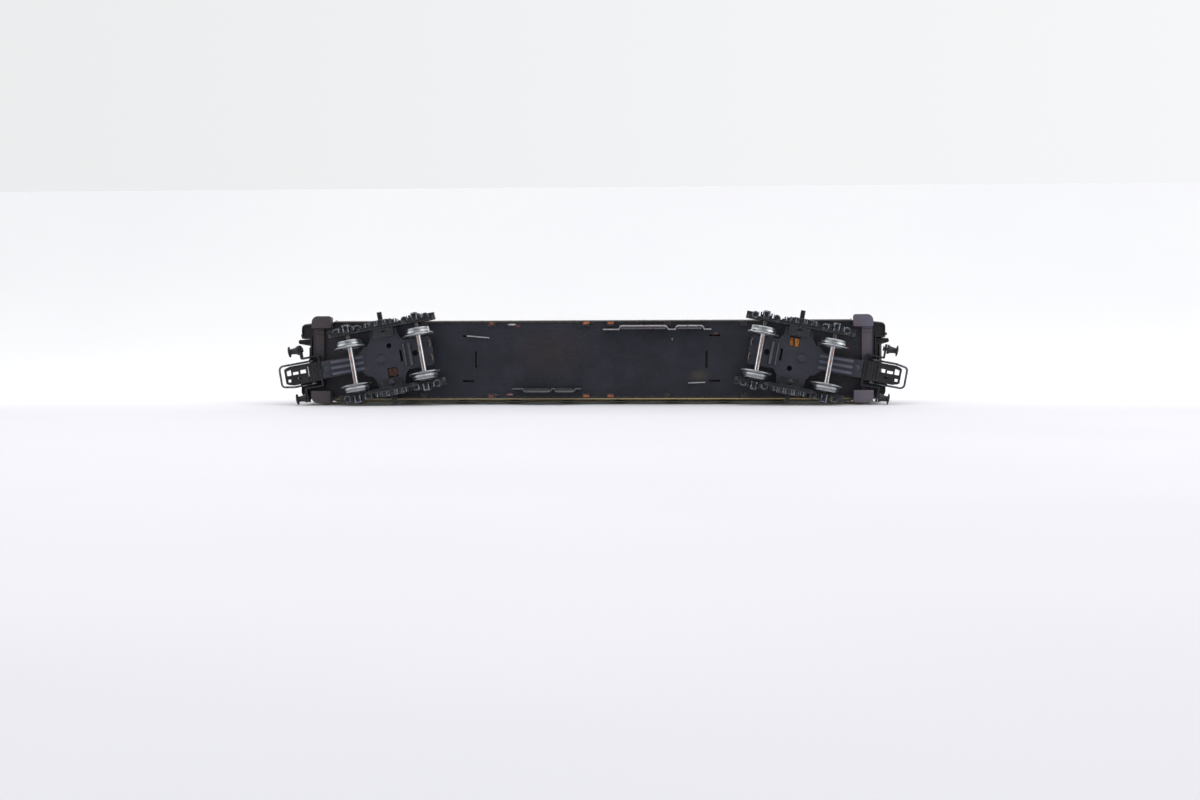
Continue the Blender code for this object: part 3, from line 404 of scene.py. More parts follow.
    def finish(self, colour, roughness=None, metallic=None):
        self.link(colour, self.shader.inputs["Base Color"])
        if roughness is not None:
            self.link(roughness, self.shader.inputs["Roughness"])
        if metallic is not None:
            self.link(metallic, self.shader.inputs["Metallic"])
        return self.material


def worn_enamel(name, base, second, edge, dust, rust, rust_share=0.3, gloss=(0.34, 0.6), edge_radius=0.25):
    """Dark enamel on tin: two shades, light edges (wear, and on frames and axleboxes painted highlights as
    well), dust, specks and some rust.
    """
    paint = Paint(name, Specular_IOR_Level=0.5)
    cloud = paint.spread(paint.noise(0.22, seed=5.0), 0.35, 0.68)
    colour = paint.mix(cloud, srgb(*base), srgb(*second))
    fine = paint.noise(3.5, detail=6, seed=1.0)
    dusty = paint.spread(fine, 0.56, 0.80, 0.0, 0.42)
    colour = paint.mix(dusty, colour, srgb(*dust))
    rusty = paint.spread(paint.noise(0.55, detail=6, seed=11.0), 0.70 - rust_share * 0.3,
                         0.86 - rust_share * 0.3)
    rusty = paint.math("MULTIPLY", rusty, 0.75)
    colour = paint.mix(rusty, colour, srgb(*rust))
    # The light edge colour is worn paint; on the frame and axlebox enamels it is also a painted highlight.
    worn = paint.math("MULTIPLY", paint.edges(edge_radius), 0.85)
    colour = paint.mix(worn, colour, srgb(*edge))
    rough = paint.spread(paint.noise(1.4, seed=7.0), 0.3, 0.7, *gloss)
    rough = paint.math("ADD", rough, paint.math("MULTIPLY", rusty, 0.25), clamp=True)
    paint.bump(paint.noise(4.0, detail=5, seed=2.0), 0.035)
    return paint.finish(colour, rough, paint.math("MULTIPLY", worn, 0.7))


def make_floor_paint():
    """The floor plate's blue-black enamel, rubbed, dusty, and browned in places."""
    paint = Paint("floor_enamel", Specular_IOR_Level=0.45)
    cloud = paint.spread(paint.noise(0.09, seed=5.0), 0.35, 0.65)
    colour = paint.mix(cloud, srgb(23, 26, 37), srgb(34, 36, 48))
    brown = paint.math("MULTIPLY", paint.spot((-16.0, -3.0, FLOOR_BOTTOM), (11.0, 8.0, 9.0), 0.7), 0.6)
    colour = paint.mix(brown, colour, srgb(44, 33, 36))
    soiled = paint.math("MULTIPLY", paint.spot((42.5, 6.4, FLOOR_BOTTOM), (3.2, 1.6, 9.0), 0.7), 0.6)
    colour = paint.mix(soiled, colour, srgb(74, 64, 54))
    for side in (-1, 1):
        under = paint.spot((side * 97.0, 0.0, FLOOR_BOTTOM), (16.0, 14.0, 9.0), 0.6)
        rusty = paint.math("MULTIPLY", under, paint.spread(paint.noise(0.5, detail=6), 0.46, 0.64, 0.0, 0.55))
        colour = paint.mix(rusty, colour, srgb(58, 38, 30))
    marks = (((-31.3, -13.9), (1.5, 0.3), (214, 206, 210)), ((-28.9, -13.3), (1.0, 0.3), (112, 62, 48)),
             ((-39.6, -13.6), (1.1, 0.5), (118, 68, 50)), ((-31.9, 13.7), (1.2, 0.3), (172, 124, 118)),
             ((-38.5, 13.9), (1.8, 0.3), (138, 138, 148)), ((48.9, -10.0), (0.7, 0.5), (106, 68, 58)),
             ((31.9, -8.0), (0.3, 0.45), (150, 138, 118)), ((-47.6, -9.4), (1.5, 0.35), (150, 84, 50)))
    for (x, y), (along, across), tint in marks:
        mark = paint.spot((x, y, FLOOR_BOTTOM), (along, across, 9.0), 0.5)
        colour = paint.mix(paint.math("MULTIPLY", mark, 0.9), colour, srgb(*tint))
    scratches = paint.noise(0.9, detail=5, stretch=(0.12, 2.2, 1.0), seed=9.0)
    colour = paint.mix(paint.spread(scratches, 0.60, 0.78, 0.0, 0.16), colour, srgb(84, 86, 94))
    fine = paint.noise(3.0, detail=6, seed=1.0)
    colour = paint.mix(paint.spread(fine, 0.58, 0.82, 0.0, 0.3), colour, srgb(76, 78, 86))
    specks = paint.spread(paint.noise(1.7, detail=2, seed=21.0), 0.765, 0.80, 0.0, 0.7)
    colour = paint.mix(specks, colour, srgb(150, 152, 160))
    worn = paint.edges(0.3)
    colour = paint.mix(paint.math("MULTIPLY", worn, 0.6), colour, srgb(92, 84, 78))
    rough = paint.spread(paint.noise(0.8, seed=7.0), 0.3, 0.7, 0.36, 0.58)
    paint.bump(paint.noise(2.2, detail=6, seed=2.0), 0.03)
    return paint.finish(colour, rough)


def make_body_paint():
    """Bottle green walls with gold lining, a gold lower edge and rusty lugs folded under the floor."""
    paint = Paint("coach_enamel", Specular_IOR_Level=0.5, Coat_Weight=0.25, Coat_Roughness=0.15)
    cloud = paint.spread(paint.noise(0.07, seed=5.0), 0.35, 0.65)
    colour = paint.mix(cloud, srgb(18, 32, 28), srgb(25, 41, 35))
    for height, half in ((WAIST_Z, 0.22), (WAIST_Z + 0.9, 0.1), (36.1, 0.2)):
        line = paint.band(paint.z, height, half, 0.05)
        colour = paint.mix(paint.math("MULTIPLY", line, 0.9), colour, srgb(190, 160, 84))
    # Below the waist the wall is painted darker: partly a dark lower panel, partly painted shade for the
    # shadowed lower wall.
    colour = paint.mix(paint.spread(paint.z, 21.6, 18.4), colour, srgb(29, 30, 36))
    gold = paint.mix(paint.spread(paint.x, -40.0, 60.0), srgb(206, 188, 138), srgb(246, 216, 134))
    gold = paint.mix(paint.spread(paint.y, -1.0, 1.0), srgb(84, 78, 60), gold)
    patchy = paint.spread(paint.noise(0.35, seed=8.0), 0.24, 0.42, 0.3, 1.0)
    edge = paint.math("MULTIPLY", paint.band(paint.z, 14.65, 0.3, 0.06), patchy)
    rubbed = paint.math("MULTIPLY", paint.band(paint.x, -57.0, 10.0, 5.0), paint.spread(paint.y, 1.0, -1.0))
    rubbed = paint.math("MULTIPLY", rubbed, paint.spread(paint.noise(0.5, detail=5, seed=17.0), 0.36, 0.5))
    gold = paint.mix(rubbed, gold, srgb(126, 78, 52))
    long_side = paint.spread(paint.math("ABSOLUTE", paint.x), 102.0, 100.0)
    edge = paint.math("MULTIPLY", edge, long_side)
    colour = paint.mix(edge, colour, gold)
    lug = paint.spread(paint.z, 13.88, 13.82)
    colour = paint.mix(lug, colour, srgb(44, 42, 46))
    rim = paint.band(paint.math("ABSOLUTE", paint.y), 14.35, 0.35, 0.2)
    rim = paint.math("MULTIPLY", rim, paint.spread(paint.z, 14.9, 14.5))
    for x, half, tint in ((-1.7, 1.1, (176, 104, 58)), (7.9, 1.1, (166, 94, 56)), (-39.3, 0.7, (128, 72, 52)),
                          (18.2, 0.5, (116, 62, 52))):
        rusty = paint.math("MULTIPLY", rim, paint.band(paint.x, x, half, 0.3))
        chipped = paint.spread(paint.noise(0.9, detail=5, seed=x), 0.34, 0.5, 0.3, 1.0)
        colour = paint.mix(paint.math("MULTIPLY", rusty, chipped), colour, srgb(*tint))
    chips = paint.math("MULTIPLY", paint.edges(0.25, 0.6), 0.6)
    colour = paint.mix(chips, colour, srgb(128, 112, 92))
    rough = paint.spread(paint.noise(0.9, seed=7.0), 0.3, 0.7, 0.24, 0.42)
    paint.bump(paint.noise(1.2, detail=5, seed=2.0), 0.02)
    return paint.finish(colour, rough)


def make_roof_paint():
    paint = Paint("roof_enamel", Specular_IOR_Level=0.4)
    colour = paint.mix(paint.spread(paint.noise(0.06, seed=5.0), 0.3, 0.7), srgb(96, 98, 98),
                       srgb(112, 114, 112))
    streaks = paint.noise(0.35, detail=5, stretch=(1.6, 0.25, 0.25), seed=4.0)
    colour = paint.mix(paint.spread(streaks, 0.5, 0.75, 0.0, 0.4), colour, srgb(70, 68, 66))
    fine = paint.noise(2.4, detail=6, seed=1.0)
    colour = paint.mix(paint.spread(fine, 0.6, 0.82, 0.0, 0.4), colour, srgb(140, 138, 132))
    worn = paint.math("MULTIPLY", paint.edges(0.3, 0.7), 0.7)
    colour = paint.mix(worn, colour, srgb(160, 156, 148))
    paint.bump(paint.noise(1.6, detail=6, seed=2.0), 0.03)
    return paint.finish(colour, paint.spread(paint.noise(0.9, seed=7.0), 0.3, 0.7, 0.45, 0.65))


def make_wheel_metal():
    """Turned nickel: fine rings from the lathe, painted highlights and a painted reflection band across the
    tread, a painted shadow line in the root between tread and flange, darker faces inside the rim.
    """
    paint = Paint("wheel_metal")
    away = paint.math("ABSOLUTE", paint.y)
    rings = paint.noise(1.0, detail=4, stretch=(0.05, 6.0, 0.05), seed=2.0)
    colour = paint.mix(paint.spread(rings, 0.36, 0.62), srgb(136, 139, 143), srgb(176, 179, 182))
    # Painted light: bright painted highlights at 8.7 and 10.15 on the tread and at 7.75 on the flange, a
    # darker painted reflection band at 9.4, and a painted shadow line at 8.22 in the root between tread and
    # flange.
    for middle, half, soft, tint in ((8.7, 0.1, 0.5, (214, 217, 219)), (9.4, 0.1, 0.5, (120, 124, 128)),
                                     (10.15, 0.06, 0.2, (206, 209, 212)), (8.22, 0.06, 0.16, (66, 67, 70)),
                                     (7.75, 0.1, 0.2, (176, 179, 182))):
        stripe = paint.math("MULTIPLY", paint.band(away, middle, half, soft), 0.72)
        colour = paint.mix(stripe, colour, srgb(*tint))
    shade = paint.spread(paint.noise(0.24, detail=2, stretch=(1.0, 0.5, 1.0), seed=8.0), 0.42, 0.62, 0.0,
                         0.36)
    colour = paint.mix(shade, colour, srgb(92, 94, 97))
    # The faces inside the rim are painted darker.
    across = paint.math("MULTIPLY", paint.x, paint.x)
    radius = paint.math("SQRT", paint.math("ADD", across, paint.math("MULTIPLY", paint.z, paint.z)))
    flat = paint.math("MULTIPLY", paint.band(away, 8.7, 1.25, 0.1), paint.spread(radius, 4.3, 3.9))
    colour = paint.mix(paint.math("MULTIPLY", flat, 0.6), colour, srgb(66, 64, 62))
    paint.bump(rings, 0.006)
    return paint.finish(colour, paint.spread(rings, 0.3, 0.7, 0.2, 0.32), paint.math("SUBTRACT", 1.0, shade))


def make_axle_metal():
    """Polished steel with a painted reflection along its lower side: a tan line between two dark lines."""
    paint = Paint("axle_metal")
    drawn = paint.noise(2.2, detail=2, stretch=(1.5, 0.02, 1.5), seed=2.0)
    colour = paint.mix(paint.spread(drawn, 0.35, 0.65), srgb(240, 240, 242), srgb(206, 208, 212))
    # Painted reflections: a tan line and two dark lines along the lower side, where z is below zero, broken
    # up by noise.
    under = paint.spread(paint.z, -0.2, -0.5)
    for middle, half, tint in ((0.1, 0.15, (168, 108, 80)), (0.4, 0.07, (58, 54, 60)),
                               (-0.24, 0.06, (78, 76, 84))):
        line = paint.math("MULTIPLY", paint.band(paint.x, middle, half, 0.06), under)
        line = paint.math("MULTIPLY", line, paint.spread(paint.noise(0.4, seed=6.0), 0.3, 0.5, 0.45, 0.95))
        colour = paint.mix(line, colour, srgb(*tint))
    ends = paint.spread(paint.math("ABSOLUTE", paint.y), 9.9, 10.3)
    colour = paint.mix(paint.math("MULTIPLY", ends, 0.85), colour, srgb(48, 48, 50))
    paint.bump(drawn, 0.006)
    return paint.finish(colour, paint.spread(drawn, 0.3, 0.7, 0.22, 0.34), paint.math("SUBTRACT", 0.8, ends))


def make_bright_tin(name, silver, grime, rust, grime_share):
    """Bare scratched tin with grime and some rust."""
    paint = Paint(name)
    scratched = paint.noise(2.6, detail=6, stretch=(0.35, 1.4, 1.4), seed=2.0)
    colour = paint.mix(paint.spread(scratched, 0.3, 0.7), srgb(*silver), srgb(*(c * 0.74 for c in silver)))
    dirty = paint.spread(paint.noise(0.8, detail=6, seed=5.0), 0.62 - grime_share, 0.78 - grime_share, 0.0,
                         0.9)
    colour = paint.mix(dirty, colour, srgb(*grime))
    rusty = paint.spread(paint.noise(0.7, detail=5, seed=15.0), 0.60, 0.70, 0.0, 0.9)
    colour = paint.mix(rusty, colour, srgb(*rust))
    dull = paint.math("MAXIMUM", dirty, rusty)
    paint.bump(scratched, 0.03)
    metallic = paint.math("SUBTRACT", 0.9, paint.math("MULTIPLY", dull, 0.8))
    return paint.finish(colour, paint.spread(dull, 0.0, 1.0, 0.30, 0.6), metallic)


def make_skirt_tin(name, silver):
    """Black enamel worn to bare metal along the lower edge."""
    paint = Paint(name)
    bare = paint.spread(paint.z, SKIRT_Z[0] + 0.9, SKIRT_Z[0] + 0.3)
    shallow = paint.math("MULTIPLY", paint.band(paint.z, SKIRT_SHALLOW_Z, 0.2, 0.3), 0.8)
    bare = paint.math("MAXIMUM", bare, shallow)
    bare = paint.math("MULTIPLY", bare, paint.spread(paint.noise(0.9, detail=5, seed=4.0), 0.30, 0.46, 0.15,
                                                     1.0))
    scratched = paint.mix(paint.noise(2.4, detail=6), srgb(*silver), srgb(*(c * 0.62 for c in silver)))
    colour = paint.mix(bare, srgb(34, 36, 42), scratched)
    paint.bump(paint.noise(2.5, detail=5), 0.03)
    return paint.finish(colour, paint.spread(paint.noise(1.5), 0.3, 0.7, 0.3, 0.5),
                        paint.math("MULTIPLY", bare, 0.75))


def make_rubber():
    paint = Paint("bellows_rubber", Specular_IOR_Level=0.35)
    colour = paint.mix(paint.spread(paint.noise(0.8), 0.35, 0.7), srgb(26, 27, 30), srgb(38, 38, 41))
    colour = paint.mix(paint.spread(paint.noise(4.0, detail=6), 0.58, 0.8, 0.0, 0.5), colour,
                       srgb(84, 82, 80))
    paint.bump(paint.noise(5.0, detail=5), 0.04)
    return paint.finish(colour, paint.spread(paint.noise(1.2), 0.3, 0.7, 0.55, 0.75))


def make_foam(name, light, dark):
    """The block seen through the bogie's opening."""
    paint = Paint(name, Specular_IOR_Level=0.3)
    colour = paint.mix(paint.spread(paint.noise(1.1, detail=5), 0.38, 0.62), srgb(*light), srgb(*dark))
    paint.bump(paint.noise(3.0, detail=5), 0.08)
    return paint.finish(colour, paint.spread(paint.noise(1.5), 0.3, 0.7, 0.55, 0.8))


def make_glass():
    """Cellulose glazing, a little grubby, over a dark compartment."""
    paint = Paint("glazing", Transmission_Weight=0.85, IOR=1.45)
    grubby = paint.spread(paint.noise(0.5, detail=6), 0.4, 0.75)
    colour = paint.mix(grubby, srgb(214, 224, 222), srgb(186, 194, 188))
    return paint.finish(colour, paint.spread(paint.noise(1.2, detail=5), 0.35, 0.75, 0.05, 0.22))


def make_materials():
    made = {}
    made["floor"] = make_floor_paint()
    made["body"] = make_body_paint()
    made["roof"] = make_roof_paint()
    made["wheel"] = make_wheel_metal()
    made["axle"] = make_axle_metal()
    made["plate"] = worn_enamel(
        "bogie_plate_enamel", (42, 46, 58), (50, 49, 60), (120, 122, 130), (84, 84, 92), (92, 56, 42), 0.3
    )
    made["ridge"] = worn_enamel(
        "drawbar_ridge_enamel", (84, 88, 102), (86, 82, 94), (136, 136, 144), (98, 98, 106), (96, 60, 46), 0.3
    )
    # Its light edge colour is partly a painted highlight along the frame's edges.
    made["frame"] = worn_enamel(
        "side_frame_enamel", (17, 19, 24), (27, 28, 33), (150, 156, 166), (72, 74, 80), (76, 48,
                                                                                         38), 0.15, (0.2,
                                                                                                     0.42)
    )
    # Its bright edge colour, over a wider edge radius, is a painted highlight along the axleboxes' edges as
    # well as wear.
    made["axlebox"] = worn_enamel(
        "axlebox_enamel", (20, 22, 27), (34, 36, 42), (206, 212, 220), (96, 98, 104), (86, 56,
                                                                                       44), 0.15, (0.18,
                                                                                                   0.36),
        0.4
    )
    made["black"] = worn_enamel(
        "end_black", (16, 17, 21), (25, 25, 29), (104, 106, 112), (66, 66, 72), (84, 50, 36), 0.1, (0.25,
                                                                                                    0.48)
    )
    made["step_a"] = worn_enamel(
        "step_enamel_a", (60, 56, 62), (66, 57, 60), (104, 96, 96), (90, 86, 90), (112, 66, 48), 0.35, (0.42,
                                                                                                        0.66)
    )
    made["step_b"] = worn_enamel(
        "step_enamel_b", (92, 91, 106), (98, 90, 100), (140, 130, 134), (128, 126, 134), (150, 84,
                                                                                          62), 0.45, (0.4,
                                                                                                      0.62)
    )
    # The horn guides' bright tin is partly a painted highlight along the frame's edges.
    made["guide"] = make_bright_tin("guide_edges", (190, 198, 212), (50, 54, 64), (64, 56, 58), 0.20)
    made["rib"] = worn_enamel(
        "rib_enamel", (88, 94, 102), (70, 72, 78), (166, 170, 176), (120, 120, 124), (92, 60,
                                                                                      44), 0.15, (0.25, 0.45)
    )
    made["spring"] = make_bright_tin("spring_steel", (128, 132, 138), (40, 41, 46), (86, 62, 52), 0.14)
    made["silver"] = make_bright_tin("bare_tin", (206, 208, 212), (70, 66, 68), (150, 88, 58), 0.06)
    made["tan"] = make_bright_tin("tan_lug", (186, 172, 150), (74, 66, 60), (150, 92, 62), 0.10)
    made["wire"] = make_bright_tin("bow_wire", (128, 132, 138), (26, 27, 30), (74, 52, 42), 0.16)
    made["brass"] = make_bright_tin("window_brass", (190, 164, 96), (96, 82, 54), (120, 90, 54), 0.04)
    made["skirt_long"] = make_skirt_tin("skirt_bright_edge", (232, 226, 230))
    made["skirt_short"] = make_skirt_tin("skirt_dull_edge", (146, 146, 150))
    made["skirt_long_fill"] = make_bright_tin("box_floor_bright", (120, 116, 122), (70, 66, 72),
                                              (120, 84, 74), 0.04)
    made["skirt_short_fill"] = make_bright_tin("box_floor_dull", (98, 98, 102), (60, 58, 62), (96, 72, 64),
                                               0.08)
    made["rubber"] = make_rubber()
    made["foam_a"] = make_foam("block_brown", (104, 60, 42), (46, 30, 28))
    made["foam_b"] = make_foam("block_ochre", (206, 136, 62), (160, 92, 44))
    made["glass"] = make_glass()
    return made


# ---------------------------------------------------------------- bogies

# (u from, u to, v from, v to) of the coupler cage's windows, v counted towards the coach's -Y side
CAGE_WINDOWS = ((30.4, 32.7, 0.2, 1.6), (33.4, 35.7, 0.2, 1.3), (36.3, 38.1, 0.2, 2.4),
                (32.5, 34.0, -1.9, -1.1), (36.8, 38.0, -2.4, -1.3))


def bogie_place(tag):
    side = -1 if tag == "a" else 1
    turn = Matrix.Rotation(math.radians(HEADING_DEG[tag]), 4, "Z")
    return Matrix.Translation((side * KING_PIN_X, 0, 0)) @ turn


def wheel_profile():
    """From the bore at the back, round the flange and tread to the hub on the face."""
    flange = [(5.35, 0.0), (6.0, 0.05), (6.15, 0.22), (6.17, 0.4), (6.05, 0.58), (5.6, 0.78)]
    fillet = [(5.2, 0.95), (5.02, 1.15)]
    tread = [(4.72, 2.75), (4.6, 2.93), (4.45, 2.98)]
    face = [(4.0, 2.98), (3.85, 2.86), (3.78, 2.45), (2.1, 2.4), (1.95, 2.5), (1.85, 2.9), (1.7, 2.98)]
    back = [(1.06, 0.0), (3.6, 0.0), (3.7, 0.25), (5.0, 0.25), (5.1, 0.0)]
    return back + flange + fillet + tread + face + [(1.06, 2.98)]


def build_wheelset(tag, number, materials):
    u = AXLES[number]
    body = f"wheelset_{tag}{number}"
    place = bogie_place(tag) @ Matrix.Translation((u * MM, SIDE_PLAY[tag] * MM, AXLE_Z * MM))

    def draw_axle(bm):
        half = [(0, 13.15), (0.25, 13.0), (0.7, 12.4), (0.74, 12.2), (0.74, 10.5), (0.98, 10.3), (0.98, 7.0)]
        profile = [(r, -h) for r, h in half] + [(0.9, -6.8), (0.9, 6.8)] + [(r, h) for r, h in reversed(half)]
        draw_turned(bm, profile, 40, along_y((0, 0, 0)))

    piece(f"polished_axle_{tag}{number}", body, materials["axle"], draw_axle, place,
          turns=True, replaces=[f"axle_{tag}{number}"])
    for hand, label in ((1, "left"), (-1, "right")):

        def draw_wheel(bm, hand=hand):
            turn = Matrix.Rotation(-hand * math.pi / 2, 4, "X") @ Matrix.Translation((0, 0, 7.2))
            draw_turned(bm, wheel_profile(), 96, turn, closed=True)

        piece(f"turned_wheel_{tag}{number}_{label}", body, materials["wheel"], draw_wheel,
              place,
              smooth_deg=30, turns=True, replaces=[f"wheel_{tag}{number}_{label}"])


def plate_outline():
    mid = BOGIE_MIDDLE
    half = [(mid - 18.0, 0), (mid - 18.0, 3.4)] + arc((mid - 16.6, 4.4), 1.4, 190, 90, 4)[1:]
    half += [(mid - 7.4, 5.8), (mid - 5.7, 8.0), (mid - 5.2, 11.2), (mid + 5.2, 11.2), (mid + 5.7, 8.0)]
    half += [(mid + 7.4, 5.8), (mid + 8.6, 5.8), (mid + 11.0, 3.4), (23.6, 3.4), (23.6, 0)]
    return mirrored(half)


def build_plate(tag, materials):
    place = bogie_place(tag)
    body = f"bogie_{tag}"
    mid = BOGIE_MIDDLE
    low, high = PLATE_Z

    def draw(bm):
        draw_prism(bm, plate_outline(), low, high)

    def draw_ridges(bm):
        for v in (-2.3, 0.0, 2.3):
            outline = rounded_rectangle(13.2, 1.1, 0.5, 4)
            draw_prism(bm, outline, low - 0.5, low + 0.2, Matrix.Translation((13.4, v, 0)))

    def draw_holes(bm):
        holes = [(0, 0, 1.6), (mid - 1.3, 4.7, 1.05), (-13.7, 0, 1.2), (21.6, 0, 0.8)]
        for u, v, radius in holes:
            draw_turned(bm, [(radius, low - 3), (radius, high + 3)], 40, Matrix.Translation((u, v, 0)))
        draw_box(bm, (WINDOW_U[0], WINDOW_V[0], low - 3), (WINDOW_U[1], WINDOW_V[1], high + 3))
        draw_box(bm, (mid - 5.9, -2.4, low - 3), (mid - 4.9, 2.4, high + 3))

    piece(f"plate_{tag}", body, materials["plate"], draw, place, cuts=[draw_holes],
          bevel=0.12, replaces=[f"bogie_{tag}_plate"])
    piece(f"drawbar_ridges_{tag}", body, materials["ridge"], draw_ridges, place, bevel=0.15)

    def draw_boss(bm):
        profile = [(1.75, low - 0.22), (2.1, low - 0.22), (2.3, low - 0.1), (2.3, low + 0.1),
                   (1.75, low + 0.1)]
        draw_turned(bm, profile, 56, closed=True)
        for v in (-4.1, 4.1):
            draw_turned(bm, [(0, low - 0.18), (0.42, low - 0.1), (0.5, low + 0.1), (0, low + 0.1)], 20,
                        Matrix.Translation((mid + 7.2, v, 0)))

    piece(f"plate_embossing_{tag}", body, materials["plate"], draw_boss, place)

    def draw_cross_ribs(bm):
        for u, width in ((mid - 7.0, 0.5), (mid - 9.2, 0.95)):
            outline = rounded_rectangle(width, 8.8, 0.24, 3)
            draw_prism(bm, outline, low - 0.8, low + 0.1, Matrix.Translation((u, 0, 0)))

    piece(f"plate_cross_ribs_{tag}", body, materials["rib"], draw_cross_ribs, place, bevel=0.1)

    def draw_curved_lugs(bm):
        for side in (-1, 1):
            bend = arc((mid - 15.4, side * 2.8), 2.3, 180 - 34, 180 + 34, 8)
            path = [(u, v, low - 0.7) for u, v in bend]
            draw_strip(bm, path, (0, 0, 1), [(-0.14, -0.8), (0.14, -0.8), (0.14, 0.85), (-0.14, 0.85)])

    piece(f"plate_lugs_{tag}", body, materials["tan"], draw_curved_lugs, place)

    def draw_block(bm):
        u0, u1 = WINDOW_U
        draw_box(bm, (u0 + 0.15, WINDOW_V[0] + 0.6, high - 0.15), (u1 - 0.15, WINDOW_V[1] - 0.15, high + 1.6))

    def draw_bar(bm):
        outline = [(WINDOW_U[0] + 0.9, WINDOW_V[0] + 0.2), (WINDOW_U[0] + 1.8, WINDOW_V[0] + 0.2),
                   (WINDOW_U[0] + 2.5, WINDOW_V[1] - 0.3), (WINDOW_U[0] + 1.7, WINDOW_V[1] - 0.3)]
        draw_prism(bm, outline, high - 0.35, high - 0.1)

    piece(f"window_block_{tag}", body, materials[f"foam_{tag}"], draw_block, place, bevel=0.25)
    piece(f"window_bar_{tag}", body, materials["black"], draw_bar, place, bevel=0.06)


def frame_outline():
    right = [(8.3, 3.7), (10.2, 5.0), (20.4, 5.2), (21.4, 6.2), (21.4, 8.2), (19.6, 9.4), (10.0, 9.4),
             (7.6, 10.6)]
    return right + [(-x, z) for x, z in reversed(right)]


def build_side_frame(tag, hand, materials):
    """Pressed frame, axleboxes between horn guides, coil springs, a peg and the lug under the plate."""
    place = bogie_place(tag)
    body = f"bogie_{tag}"
    mid = BOGIE_MIDDLE
    label = "left" if hand > 0 else "right"
    axle_places = [mid - 13.7, mid + 13.7]

    def between(bm, u0, u1, v0, v1, z0, z1):
        low_v, high_v = sorted((hand * v0, hand * v1))
        draw_box(bm, (u0, low_v, z0), (u1, high_v, z1))

    def draw(bm):
        turn = Matrix.Translation((mid, 0, 0)) @ Matrix.Rotation(math.pi / 2, 4, "X")
        draw_prism(bm, frame_outline(), *sorted((-hand * FRAME_V[0], -hand * FRAME_V[1])), turn)

    def draw_recesses(bm):
        for offset in (-4.6, 0.0, 4.6):
            between(bm, mid + offset - 1.6, mid + offset + 1.6, 12.6, 14.0, 4.6, 9.4)

    def draw_fittings(bm):
        for u in axle_places:
            for side in (-1, 1):
                between(bm, u + side * 2.05 - 0.28, u + side * 2.05 + 0.28, 12.8, 14.7, 3.9, 9.2)
            between(bm, u - 2.3, u + 2.3, 12.8, 14.1, 8.6, 9.2)
        for offset in (-6.4, -1.75, 1.75, 6.4):
            between(bm, mid + offset - 0.25, mid + offset + 0.25, 12.8, 14.4, 3.9, 10.0)
        between(bm, mid - 7.4, mid + 7.4, 12.8, 14.0, 9.4, 10.1)
        for side in (-1, 1):
            between(bm, mid + side * 20.1 - 1.25, mid + side * 20.1 + 1.25, 12.8, 14.3, 5.5, 8.2)

    def draw_peg(bm):
        low_v, high_v = sorted((hand * 12.3, hand * PEG_TIP_V))
        draw_box(bm, (mid - 0.9, low_v, 6.05), (mid + 0.9, high_v, 7.55))

    def draw_lug(bm):
        between(bm, mid - 4.0, mid + 4.0, 8.4, FRAME_V[0] + 0.5, 7.25, 7.85)

    piece(f"frame_{tag}_{label}", body, materials["frame"], draw, place,
          joins=[draw_fittings, draw_peg, draw_lug], cuts=[draw_recesses], bevel=0.11,
          replaces=[f"bogie_{tag}_frame_{label}"])

    def draw_boxes(bm):
        for u in axle_places:
            outline = rounded_rectangle(2.9, 4.0, 0.6, 4)
            low_v, high_v = sorted((-hand * 12.3, -hand * 15.2))
            draw_prism(bm, outline, low_v, high_v, upright_along_y((u, 0, AXLE_Z)))

    def draw_guides(bm):
        for u in axle_places:
            for offset, width, tip in ((-1.15, 0.42, 15.3), (0.75, 0.5, 15.5)):
                between(bm, u + offset, u + offset + width, 12.5, tip, 3.65, 4.3)
            between(bm, u - 1.15, u + 1.25, 15.0, 15.4, 3.75, 4.3)
            for offset in (-3.2, 2.75):
                between(bm, u + offset, u + offset + 0.35, 12.9, 14.6, 3.9, 4.5)
        for offset in (-5.9, -2.3, 2.0, 5.6):
            between(bm, mid + offset, mid + offset + 0.32, 12.9, 14.7, 3.6, 4.1)

    piece(f"horn_guides_{tag}_{label}", body, materials["guide"], draw_guides, place,
          bevel=0.08)

    def draw_plank(bm):
        outline = [(mid - 6.6, 12.5), (mid + 6.6, 12.5), (mid + 5.4, 14.4), (mid + 2.4, 15.0)]
        outline += [(mid - 2.4, 15.0), (mid - 5.4, 14.4)]
        draw_prism(bm, [(u, hand * v) for u, v in outline], 3.95, 4.7)
        for offset in (-4.2, -1.4, 1.4, 4.2):
            between(bm, mid + offset - 0.3, mid + offset + 0.3, 12.9, 14.9, 3.65, 4.1)

    piece(f"spring_plank_{tag}_{label}", body, materials["axlebox"], draw_plank, place,
          bevel=0.12)

    def draw_covers(bm):
        for u in axle_places:
            turn = Matrix.Translation((u, hand * 15.1, AXLE_Z)) @ Matrix.Rotation(-hand * math.pi / 2, 4, "X")
            draw_turned(bm, [(1.15, -0.3), (1.15, 0.35), (0.9, 0.55), (0.35, 0.6), (0, 0.57)], 32, turn)

    piece(f"axleboxes_{tag}_{label}", body, materials["axlebox"], draw_boxes, place,
          joins=[draw_covers], bevel=0.16)

    def draw_springs(bm):
        for u in axle_places:
            for offset in (-4.2, 4.2):
                draw_tube(bm, helix((u + offset, hand * 13.3), 1.18, 4.9, 8.9, 4.5), 0.27, 8)
        for offset in (-3.4, 3.4):
            draw_tube(bm, helix((mid + offset, hand * 13.3), 1.18, 4.3, 10.0, 5.5), 0.27, 8)

